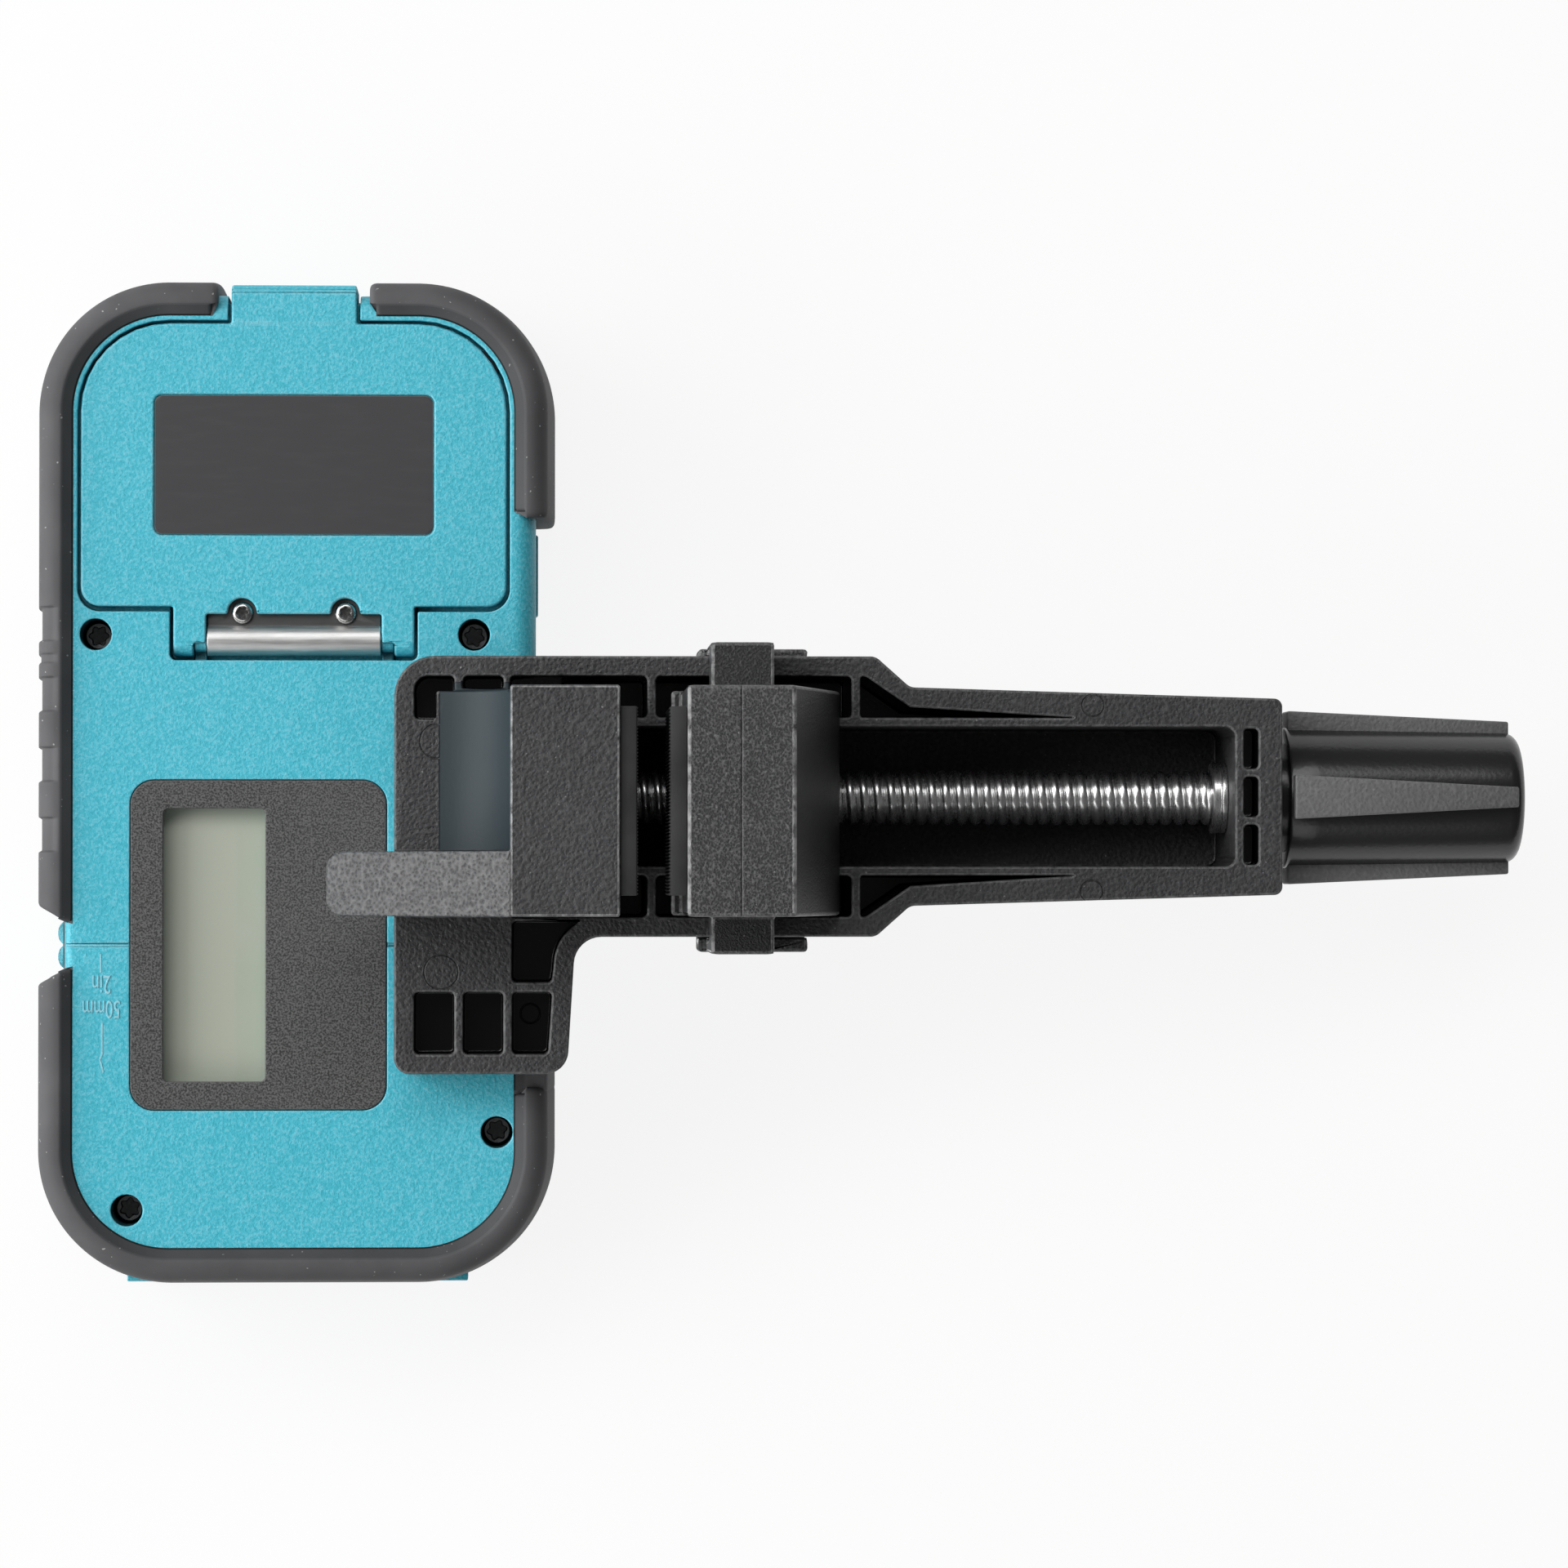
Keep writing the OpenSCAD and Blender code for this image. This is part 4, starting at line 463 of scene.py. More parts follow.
def circuit_board(name, colour):
    """Solder mask over a maze of traces, with plated dots."""
    made, tree, shader = material(name)
    where = tree.place()
    maze = tree.cells(where, 0.0028, "F1", "Color")
    lanes = tree.add("ShaderNodeTexWave", {"wave_type": "BANDS", "bands_direction": "DIAGONAL"},
                     {"Vector": where, "Scale": 140.0, "Distortion": 6.0, "Detail": 1.0})
    dots = 1 - tree.cells(where, 0.0028, "F1").above(0.16, 0.04)
    tone = tree.mix(lanes.out("Fac").above(0.55, 0.05) * 0.5, colour, lighter(colour, 0.12))
    tone = tree.mix(tree.noise(where, 0.006, 2.0) * 0.3, tone, darker(colour, 0.3))
    tone = tree.mix(dots, tone, (0.7, 0.62, 0.42))
    feed(tree, shader, Base_Color=tone, Metallic=dots, Roughness=0.35 + maze * 0.1,
         Normal=tree.bump(lanes.out("Fac") + dots * 0.5, 0.00003, 0.4))
    return made


def battery_jacket(name, colour, low, high):
    """Printed can of a block battery: a copper-coloured band at the terminal end."""
    made, tree, shader = material(name)
    where = tree.place(shift=(-low.x, -low.y, -low.z))
    along = tree.axis(where, "X") / (high.x - low.x)
    band = along.above(0.7, 0.004)
    rub = tree.noise(where, 0.004, 4.0)
    tone = tree.mix(band, colour, (0.42, 0.24, 0.1))
    tone = tree.mix(rub.above(0.55, 0.2) * 0.2, tone, (0.5, 0.5, 0.5))
    feed(tree, shader, Base_Color=tone, Metallic=0.3 + band * 0.5, Roughness=0.32 + (rub - 0.5) * 0.2,
         Normal=tree.bump(rub, 0.00002, 0.3))
    return made


def put(name, mesh, body, finish, slot, *nodes):
    """A finished piece in the frame: its body, its material slot and the nodes that it stands for. The slot
    is not used.
    """
    made = bpy.data.objects.new(name, mesh)
    bpy.context.scene.collection.objects.link(made)
    if finish:
        mesh.materials.clear()
        mesh.materials.append(finish)
    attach(made, body)
    if nodes:
        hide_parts(*nodes)
    return made


def weigh(piece):
    """Keeps large faces flat beside their rounded edges."""
    weight = piece.modifiers.new("flat faces", "WEIGHTED_NORMAL")
    weight.keep_sharp = True
    weight.mode = "FACE_AREA"
    return piece


def flat_regions(work):
    """Groups of joined faces that lie in one plane, in the order of the faces."""
    left, regions, one_plane = set(work.faces), [], 0.99996
    for seed in work.faces:
        if seed not in left:
            continue
        left.remove(seed)
        region, edge = [seed], [seed]
        while edge:
            for e in edge.pop().edges:
                for other in e.link_faces:
                    if other in left and other.normal.dot(seed.normal) > one_plane:
                        left.remove(other)
                        region.append(other)
                        edge.append(other)
        regions.append(region)
    return regions


def rims(region):
    """Boundary loops of a group of faces, each as a list of its points."""
    inside, links = set(region), {}
    for face in region:
        for e in face.edges:
            if sum(other in inside for other in e.link_faces) == 1:
                for v in e.verts:
                    links.setdefault(v, []).append(e.other_vert(v))
    loops = []
    while links:
        start = next(iter(links))
        loop, edge = [], [start]
        while edge:
            v = edge.pop()
            if v in links:
                loop.append(v.co.copy())
                edge.extend(links.pop(v))
        loops.append(loop)
    return loops


def open_holes(work):
    """Cuts a flat face with holes into strips through them, so that each strip is one plain outline."""
    work.normal_update()
    for region in flat_regions(work):
        if len(region) < 4:
            continue
        loops = rims(region)
        if len(loops) < 2:
            continue
        spans = [[(min(p[i] for p in loop), max(p[i] for p in loop)) for i in range(3)] for loop in loops]
        normal = region[0].normal
        across = Vector((1, 0, 0)) if abs(normal.x) < 0.7 else Vector((0, 1, 0))
        outer = max(range(len(loops)), key=lambda k: sum(high - low for low, high in spans[k]))
        for k, span in enumerate(spans):
            if k == outer:
                continue
            middle = Vector((low + high) / 2 for low, high in span)
            parts = list(dict.fromkeys(g for f in region for g in (f, *f.edges, *f.verts)))
            cut = bmesh.ops.bisect_plane(work, geom=parts, dist=SLIVER, plane_co=middle, plane_no=across)
            region = [g for g in cut["geom"] if isinstance(g, bmesh.types.BMFace)]
            for g in cut["geom_cut"]:
                if isinstance(g, bmesh.types.BMEdge):
                    g.seam = True


def weld(work):
    """Merges points that lie together."""
    bmesh.ops.remove_doubles(work, verts=work.verts, dist=WELD)


def join_flats(work):
    """Merges faces that lie in one plane, but not across a seam."""
    bmesh.ops.dissolve_limit(work, angle_limit=math.radians(0.5), verts=work.verts, edges=work.edges,
                             delimit={"SEAM"})


def slice_across(work, place, way):
    """Adds edges to work where a plane cuts it."""
    bmesh.ops.bisect_plane(work, geom=[*work.verts, *work.edges, *work.faces], dist=SLIVER,
                           plane_co=place, plane_no=way)


def merged(node):
    """A bmesh of a CAD node with its loose triangles merged into plain faces."""
    work = bmesh.new()
    work.from_mesh(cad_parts[node].data)
    weld(work)
    bmesh.ops.dissolve_degenerate(work, edges=work.edges, dist=SLIVER)
    open_holes(work)
    join_flats(work)
    return work


def sheltered(work, mark):
    """Marks faces in pockets for painted shade: the share of the sky over them that their own piece hides
    within reach.
    """
    reach, none, full = 0.012, 0.3, 0.85
    tree = BVHTree.FromBMesh(work)
    rays = [Vector((math.cos(a) * math.cos(e), math.sin(a) * math.cos(e), math.sin(e)))
            for e in (0.35, 0.8) for a in (math.pi * i / 4 + e for i in range(8))]
    for face in work.faces:
        if face.normal.z < -0.5:
            continue
        turn = Vector((0, 0, 1)).rotation_difference(face.normal)
        start = face.calc_center_median() + face.normal * 1e-5
        hits = sum(tree.ray_cast(start, turn @ ray, reach)[0] is not None for ray in rays)
        face[mark] = min(max(hits / len(rays) - none, 0) / (full - none), 1)


def bevel(work, edges, offset, segments, clamp=False):
    """Rounds edges and gives the new faces."""
    return bmesh.ops.bevel(work, geom=edges, offset=offset, offset_type="OFFSET", segments=segments,
                           profile=0.5, affect="EDGES", clamp_overlap=clamp, loop_slide=True,
                           miter_outer="ARC", miter_inner="SHARP", material=-1)["faces"]


def dress(node, body, finish, slot, edge, segments=3, corner=0, shape=None, painted_shade=None,
          spare=lambda place: False):
    """A copy of a CAD node with its edges and upright corners rounded, standing for that node. shape()
    changes it first, the painted-shade function marks the faces last, where shade is painted into the
    colour, and edges where spare() is true stay as they are."""
    work = merged(node)
    if shape:
        shape(work)
    mark = work.faces.layers.float.new("edge")
    hidden = work.faces.layers.float.new("painted_shade")

    def bent(e):
        return (len(e.link_faces) == 2 and e.calc_face_angle(0) > SHARP
                and not all(spare(v.co) for v in e.verts))

    if corner:
        upright = [e for e in work.edges if bent(e) and e.calc_length() > 0.002
                   and abs((e.verts[0].co - e.verts[1].co).normalized().z) > 0.98]
        bevel(work, upright, corner, segments, clamp=True)
    for face in bevel(work, [e for e in work.edges if bent(e)], edge, segments):
        face[mark] = 1.0
    if painted_shade:
        work.normal_update()
        painted_shade(work, hidden)
    bmesh.ops.triangulate(work, faces=work.faces)
    return weigh(put("dressed_" + node, to_mesh(node, work), body, finish, slot, node))


def paint(node, finish):
    """A better material on a CAD node that stays."""
    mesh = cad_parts[node].data
    mesh.materials.clear()
    mesh.materials.append(finish)


def lathe(work, profile, turn, steps=48):
    """Closed turned form in work: profile is (along, radius) points, and turn maps along, across and up
    to a point."""
    rings = []
    for along, radius in profile:
        if radius == 0:
            rings.append([work.verts.new(turn(along, 0, 0))])
        else:
            rings.append([work.verts.new(turn(along, radius * math.cos(a), radius * math.sin(a)))
                          for a in (2 * math.pi * i / steps for i in range(steps))])
    join_rings(work, rings)


def join_rings(work, rings):
    """Faces between rings of points, where a ring of one point closes the end."""
    for first, second in zip(rings, rings[1:]):
        count = max(len(first), len(second))
        for i in range(count):
            j = (i + 1) % count
            if len(first) == 1:
                work.faces.new((first[0], second[i], second[j]))
            elif len(second) == 1:
                work.faces.new((first[j], first[i], second[0]))
            else:
                work.faces.new((first[j], first[i], second[i], second[j]))
    bmesh.ops.recalc_face_normals(work, faces=work.faces)


def cap_ends(work, rings):
    """Closes the first and the last ring of points with a face each."""
    for ring in (rings[0], rings[-1]):
        work.faces.new(ring)
    bmesh.ops.recalc_face_normals(work, faces=work.faces)


def to_mesh(name, work, angle=38):
    """A mesh of work, which is then let go, with smooth faces that break at sharp edges."""
    mesh = bpy.data.meshes.new(name)
    work.to_mesh(mesh)
    work.free()
    mesh.shade_smooth()
    mesh.set_sharp_from_angle(angle=math.radians(angle))
    return mesh


def geometry_tree(name, inputs):
    """A geometry tree with named inputs: its wrapper, its inputs by name and a closing call."""
    group = bpy.data.node_groups.new(name, "GeometryNodeTree")
    group.interface.new_socket("Geometry", in_out="INPUT", socket_type="NodeSocketGeometry")
    for label, kind in inputs.items():
        group.interface.new_socket(label, in_out="INPUT", socket_type="NodeSocket" + kind)
    group.interface.new_socket("Geometry", in_out="OUTPUT", socket_type="NodeSocketGeometry")
    tree = Tree(group)
    start = group.nodes.new("NodeGroupInput")
    given = {s.name: Value(tree, s) for s in start.outputs if s.name}

    def close(geometry):
        real = tree.add("GeometryNodeRealizeInstances", None, {"Geometry": geometry})
        dyed = tree.add("GeometryNodeSetMaterial", None, {"Geometry": real, "Material": given["Finish"]})
        group.links.new(dyed.socket, group.nodes.new("NodeGroupOutput").inputs[0])
        return group

    return tree, given, close


def grow(name, group, base, values):
    """A plain mesh from a geometry tree run on a base mesh, with its inputs set by name."""
    carrier = bpy.data.objects.new(name, base)
    bpy.context.scene.collection.objects.link(carrier)
    modifier = carrier.modifiers.new("grow", "NODES")
    modifier.node_group = group
    for item in group.interface.items_tree:
        if item.in_out == "INPUT" and item.name in values:
            modifier[item.identifier] = values[item.name]
    done = carrier.evaluated_get(bpy.context.evaluated_depsgraph_get())
    mesh = bpy.data.meshes.new_from_object(done)
    carrier.modifiers.remove(modifier)
    bpy.data.objects.remove(carrier)
    return mesh


def points_mesh(name, points):
    """A mesh of loose points."""
    mesh = bpy.data.meshes.new(name)
    mesh.from_pydata([tuple(p) for p in points], [], [])
    return mesh


def screw_template(name, profile, drive_r, drive_depth, lobe):
    """A screw head with a six-lobe socket, its axis up and the underside of its head at zero."""
    work = bmesh.new()
    steps = 48
    angles = [2 * math.pi * i / steps for i in range(steps)]

    def ring(radius, z, wave=0.0):
        return [work.verts.new((radius * (1 + wave * math.cos(6 * a)) * math.cos(a),
                                radius * (1 + wave * math.cos(6 * a)) * math.sin(a), z)) for a in angles]

    top = profile[-1][1]
    rings = [[work.verts.new((0, 0, profile[0][1]))]]
    rings += [ring(r, z) for r, z in profile]
    rings += [ring(drive_r * 1.1, top, lobe * 0.8), ring(drive_r, top - drive_depth * 0.15, lobe),
              ring(drive_r * 0.97, top - drive_depth, lobe)]
    rings += [[work.verts.new((0, 0, top - drive_depth * 1.1))]]
    join_rings(work, rings)
    # Painted shade: the socket's floor and walls are marked to be darkened.
    mark = work.faces.layers.float.new("painted_shade")
    for face in work.faces:
        middle = face.calc_center_median()
        if middle.z < top - drive_depth * 0.1 and middle.xy.length < drive_r * 1.02:
            face[mark] = 0.7
    return bpy.data.objects.new(name, to_mesh(name, work, 32))


def screw_tree():
    """Screws on points: every screw gets its own fixed turn of the socket."""
    tree, given, close = geometry_tree("screw rows", {"Screw": "Object", "Turn": "Float",
                                                      "Finish": "Material"})
    index = tree.add("GeometryNodeInputIndex")
    turn = tree.add("ShaderNodeCombineXYZ", None, {"Z": index * given["Turn"]})
    screw = tree.add("GeometryNodeObjectInfo", None, {"Object": given["Screw"]}, out="Geometry")
    placed = tree.add("GeometryNodeInstanceOnPoints", None,
                      {"Points": given["Geometry"], "Instance": screw, "Rotation": turn})
    return close(placed)


def tooth_tree():
    """A row of ridges across a pad."""
    tree, given, close = geometry_tree("pad teeth", {"Tooth": "Object", "Count": "Int", "Pitch": "Float",
                                                     "Start": "Vector", "Finish": "Material"})
    step = tree.add("ShaderNodeCombineXYZ", None, {"Y": given["Pitch"]})
    line = tree.add("GeometryNodeMeshLine", {"mode": "OFFSET"},
                    {"Count": given["Count"], "Start Location": given["Start"], "Offset": step})
    tooth = tree.add("GeometryNodeObjectInfo", None, {"Object": given["Tooth"]}, out="Geometry")
    rows = tree.add("GeometryNodeInstanceOnPoints", None, {"Points": line, "Instance": tooth})
    both = tree.add("GeometryNodeJoinGeometry")
    for part in (given["Geometry"], rows):
        tree.tree.links.new(part.socket, both.socket.node.inputs[0])
    return close(both)


def thread_tree(steps, rows):
    """A left-hand thread of round beads: rows of points that follow the helix, so many to one pitch."""
    tree, given, close = geometry_tree("left-hand thread", {
        "Start": "Float", "End": "Float", "Pitch": "Float", "Turns": "Int", "Crest": "Float",
        "Root": "Float", "Axis": "Vector", "Finish": "Material"})
    grid = tree.add("GeometryNodeMeshGrid", None, {"Size X": 1.0, "Size Y": 1.0, "Vertices Y": steps + 1,
                                                   "Vertices X": given["Turns"] * rows + 1})
    index = tree.add("GeometryNodeInputIndex")
    column = index % (steps + 1)
    row = (index - column) / (steps + 1)
    angle = column * (2 * math.pi / steps)
    swell = row.math("SINE", (row % rows) * (math.pi / rows)) ** 0.55
    place = given["Start"] + (row / rows + column / steps - 1) * given["Pitch"]
    place = place.math("MAXIMUM", place, given["Start"])
    place = place.math("MINIMUM", place, given["End"])
    radius = given["Root"] + swell * (given["Crest"] - given["Root"])
    across, up = radius * angle.math("COSINE", angle), radius * angle.math("SINE", angle)
    point = tree.add("ShaderNodeCombineXYZ", None, {"X": place, "Y": across, "Z": up})
    moved = tree.add("ShaderNodeVectorMath", {"operation": "ADD"}, {0: point, 1: given["Axis"]})
    shaped = tree.add("GeometryNodeSetPosition", None, {"Geometry": grid, "Position": moved})
    sewn = tree.add("GeometryNodeMergeByDistance", None, {"Geometry": shaped, "Distance": SLIVER})
    return close(sewn)


FINISHES = {}


def finishes(context):
    """All materials of the object, made once from the panel's colours."""
    if FINISHES:
        return FINISHES
    tint, size = context.scene.receiver_colours, context.scene.receiver_sizes
    c = {name: tuple(getattr(tint, name)) for name in ReceiverColours.__annotations__}
    low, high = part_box("rear_lcd")
    front_low, front_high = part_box("front_lcd")
    FINISHES.update(
        teal=spark_plastic("teal spark plastic", c["teal"], size.teal_grain),
        # The raised mark is a lighter teal than the case: a painted highlight where its strokes catch the
        # light.
        mark=spark_plastic("raised mark", lighter(c["teal"], 0.26), size.teal_grain, 0.4, 0.00003),
        rubber=soft_rubber("bumper rubber", c["rubber"], size.fine_grain),
        clamp=leather_plastic("clamp leather grain", c["clamp"], size.leather_grain, 0.38, rings=[
            (spot(21.6, -27.6, 0), 2.45 * MM), (spot(21.0, 5.6, 0), 2.45 * MM),
            (spot(115.7, 10.9, 0), 1.6 * MM), (spot(115.5, -16.0, 0), 1.6 * MM),
            (spot(34.4, -33.7, 0), 1.4 * MM)],
            # The coarse zone is the brace, painted lighter as if lit; the plain zone is the scoop, tinted
            # by a painted reflection.
            coarse=(spot(5.0, -19.6, 31.5), spot(31.5, -10.2, 75)),
            plain=(spot(21.2, -10.2, 36), spot(31.5, 14, 75))),
        jaw=leather_plastic("jaw fine grain", darker(c["clamp"], 0.45), size.leather_grain * 0.6, 0.5,
                            0.48, 0.0004, 0.5, 0.28, seam=spot(63.8, 0, 52)),
        # The knob's colour is lighter than the clamp's as a painted highlight on the ribs; its turned body
        # is darkened again by painted shade.
        knob=leather_plastic("knob orange peel", lighter(c["clamp"], 0.115), size.leather_grain, 0.18,
                             0.5, 0.00015, 0.2),
        pad=soft_rubber("pad rubber", darker(c["rubber"], 0.75), size.fine_grain, 0.0),
        panel=grained_panel("charcoal panel", c["panel"], size.fine_grain),
        label=label_print("bare label", c["label"]),
        display=display_glass("rear display", c["display"], (low + high) / 2, (high - low) / 2),
        front_display=display_glass("front display", c["display"], (front_low + front_high) / 2,
                                    (front_high - front_low) / 2),
        window=tinted_window("beam window", c["window"]),
        key=spark_plastic("key plastic", c["key"], size.fine_grain, 0.5, 0.00003),
        barrel=brushed_steel("hinge steel", lighter(c["steel"], 0.2), (0.06, 1, 1), 0.48),
        thread=brushed_steel("thread steel", lighter(c["steel"], 0.85), (1, 0.2, 0.2), 0.28, 0.0003),
        screw=brushed_steel("black screw steel", c["black_steel"], (1, 1, 1), 0.3),
        bright_screw=brushed_steel("bright screw steel", darker(c["steel"], 0.2), (1, 1, 1), 0.26),
        brass=brushed_steel("nut brass", c["brass"], (1, 1, 0.1), 0.3),
        board=circuit_board("solder mask", c["board"]),
        black=grained_panel("black part", darker(c["panel"], 0.6), size.fine_grain, 0.45),
        can=battery_jacket("battery jacket", c["can"], *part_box("battery")),
    )
    return FINISHES


NOTCH_HALF, NOTCH_DEPTH = 6.2 * MM, 4.5 * MM


def in_notch(place):
    """Whether a point lies beside the grade notch, where round_notch() shapes the bumps and the flank."""
    return abs(place.y - GRADE_Y) < NOTCH_HALF and place.x < CASE_LOW.x + NOTCH_DEPTH


def round_notch(work):
    """Widens the two grade bumps and draws the flank back beside them, under the rubber's slanted ends."""
    bump_low, bump_side, bump_high = 0.27 * MM, 3.0 * MM, 3.3 * MM
    old_middle, new_middle, wider = 1.55 * MM, 1.72 * MM, 1.27
    bump_back, flank_back = 0.65, 1.35
    for y in (-6.4, -6.0, 6.0, 6.4):
        slice_across(work, (0, GRADE_Y + y * MM, 0), (0, 1, 0))
    for v in work.verts:
        if not in_notch(v.co):
            continue
        away, depth = v.co.y - GRADE_Y, v.co.x - CASE_LOW.x
        back = bump_back if abs(away) < bump_side else flank_back
        v.co.x += back * MM * (1 - depth / NOTCH_DEPTH)
        if bump_low < abs(away) < bump_high:
            v.co.y = GRADE_Y + math.copysign(new_middle + (abs(away) - old_middle) * wider, away)


class RECEIVER_OT_case(bpy.types.Operator):
    """Dresses the two case halves and their gasket"""

    bl_idname = "receiver.case"
    bl_label = "Case halves"

    def execute(self, context):
        look, size = finishes(context), context.scene.receiver_sizes
        for node in ("rear_case", "front_case"):
            dress(node, "receiver", look["teal"], "teal_plastic", size.case_edge, shape=round_notch,
                  painted_shade=sheltered, spare=in_notch)
        paint("case_gasket", look["rubber"])
        return {"FINISHED"}


def upside_down_text(words, middle, tall, narrow, rise):
    """Raised narrow letters as a plain mesh, read from the battery end, with their middle at a point."""
    letters = bpy.data.curves.new(words, "FONT")
    letters.body, letters.size, letters.extrude = words, tall, rise / 2
    letters.bevel_depth, letters.bevel_resolution, letters.offset = rise / 2, 0, -rise / 4
    letters.align_x, letters.align_y, letters.resolution_u = "CENTER", "CENTER", 3
    carrier = bpy.data.objects.new(words, letters)
    bpy.context.scene.collection.objects.link(carrier)
    mesh = bpy.data.meshes.new_from_object(carrier.evaluated_get(bpy.context.evaluated_depsgraph_get()))
    bpy.data.objects.remove(carrier)
    mesh.transform(Matrix.Translation(middle) @ Matrix.Rotation(math.pi, 4, "Z")
                   @ Matrix.Diagonal((narrow, 1, 1, 1)))
    return mesh


def bar(work, first, last, wide, rise):
    """A thin raised line between two points on the rear face."""
    side = (last - first).cross(Vector((0, 0, 1))).normalized() * wide / 2
    rings = [[work.verts.new(p + side * i + Vector((0, 0, rise / 2 * k)))
              for i, k in ((-1, -1), (1, -1), (0.6, 1), (-0.6, 1))] for p in (first, last)]
    join_rings(work, rings)
    cap_ends(work, rings)


class RECEIVER_OT_size_mark(bpy.types.Operator):
    """Raises the size mark beside the grade line: a dimension line with its plain sizes"""

    bl_idname = "receiver.size_mark"
    bl_label = "Size mark"

    def execute(self, context):
        look = finishes(context)
        rise, level, narrow, line = 0.14 * MM, REAR_Z / MM, 0.6, 0.35 * MM
        work = bmesh.new()
        for words, y, tall in (("2in", -29.4, 3.9), ("50mm", -33.0, 3.7)):
            mesh = upside_down_text(words, spot(-27.8, y, level), tall * MM, narrow, rise)
            work.from_mesh(mesh)
            bpy.data.meshes.remove(mesh)
        bmesh.ops.remove_doubles(work, verts=work.verts, dist=SLIVER)
        for x0, y0, x1, y1 in ((-27.9, -25.1, -27.9, -27.8), (-27.7, -35.1, -27.7, -39.7),
                               (-27.7, -39.7, -28.0, -40.4), (-28.0, -40.4, -27.5, -42.3)):
            bar(work, spot(x0, y0, level), spot(x1, y1, level), line, rise)
        put("size_mark", to_mesh("size mark", work, 20), "receiver", look["mark"], "teal_plastic")
        return {"FINISHED"}


class Outline:
    """The case outline as a path: distances run from the middle of the clamp side past the battery end."""

    def __init__(self, radius):
        self.half = ((CASE_HIGH.x - CASE_LOW.x) / 2, (CASE_HIGH.y - CASE_LOW.y) / 2)
        self.radius = radius
        self.side, self.end = self.half[1] - radius, self.half[0] - radius
        self.arc = radius * math.pi / 2
        self.around = 4 * (self.side + self.end + self.arc)

    def on_end(self, x):
        """Distance of a place on the battery end."""
        return self.side + self.arc + self.end - x

    def on_left(self, y):
        """Distance of a place on the side away from the clamp."""
        return 2 * (self.side + self.arc + self.end) - y

    def at(self, distance):
        """Point and outward direction at a distance."""
        left = (distance + self.side) % self.around
        for quarter in range(4):
            run, reach = (self.side, self.half[0]) if quarter % 2 == 0 else (self.end, self.half[1])
            if left <= 2 * run:
                point, out = Vector((reach, left - run)), Vector((1, 0))
                break
            left -= 2 * run
            if left <= self.arc:
                angle = left / self.radius
                out = Vector((math.cos(angle), math.sin(angle)))
                point = Vector((reach - self.radius, run)) + self.radius * out
                break
            left -= self.arc
        turn = Matrix.Rotation(quarter * math.pi / 2, 2)
        return turn @ point, turn @ out


def ease(value):
    """Smooth step from zero to one."""
    value = min(max(value, 0), 1)
    return value * value * (3 - 2 * value)


SEAT_BAND, SEAT_RIMS = (4.8 * MM, 12.2 * MM), (12.21, 12.11, 4.89, 4.79)


def rubber_section(size):
    """Points (out, up) round the rubber's section, their outward directions, or None where they lie on the
    case, and where its bevelled band ends."""
    low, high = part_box("bumper_upper_left")
    thick, top, inner = CASE_LOW.x - low.x, high.z, size.case_bend
    band, seat, lip = size.rubber_band - inner, 0.05 * MM, 0.12 * MM
    shoulder = thick - size.rubber_crown

    def arc(x, z, r, first, last, steps):
        return [(x + r * math.cos(math.radians(a)), z + r * math.sin(math.radians(a)))
                for a in (first + (last - first) * i / steps for i in range(steps + 1))]

    seen = [(-inner, REAR_Z + seat), (2 * lip - inner, REAR_Z + 0.2 * MM),
            (band - 2 * lip, top - 1.6 * lip), (band, top - 0.3 * lip), (band + lip, top)]
    seen += arc(shoulder - size.rubber_bend, top - size.rubber_bend, size.rubber_bend, 90, 4, 12)
    seen += [(shoulder + size.rubber_crown * share, top - size.rubber_bend - (top / 2) * along)
             for along, share in ((0.3, 0.42), (0.6, 0.75), (0.9, 0.96))]
    seen += [(thick, z * MM) for z in SEAT_RIMS]
    seen += arc(thick - size.rubber_foot, low.z + size.rubber_foot, size.rubber_foot, 0, -90, 8)
    seen += [(band, low.z)]
    hidden = arc(-inner, CASE_FRONT_Z + inner, inner + seat, -90, 0, 6)
    hidden += arc(-inner, REAR_Z - inner, inner + seat, 0, 80, 6)
    ring = [Vector(q) for q in seen + hidden]
    outs = []
    for i in range(len(ring)):
        step = ring[(i + 1) % len(ring)] - ring[i - 1]
        outs.append(Vector((-step.y, step.x)).normalized() if 0 < i < len(seen) else None)
    return ring, outs, band


def window(at, low, high, soft=0.0004):
    """One between low and high, with soft ends."""
    return ease((at - low) / soft + 0.5) * ease((high - at) / soft + 0.5)


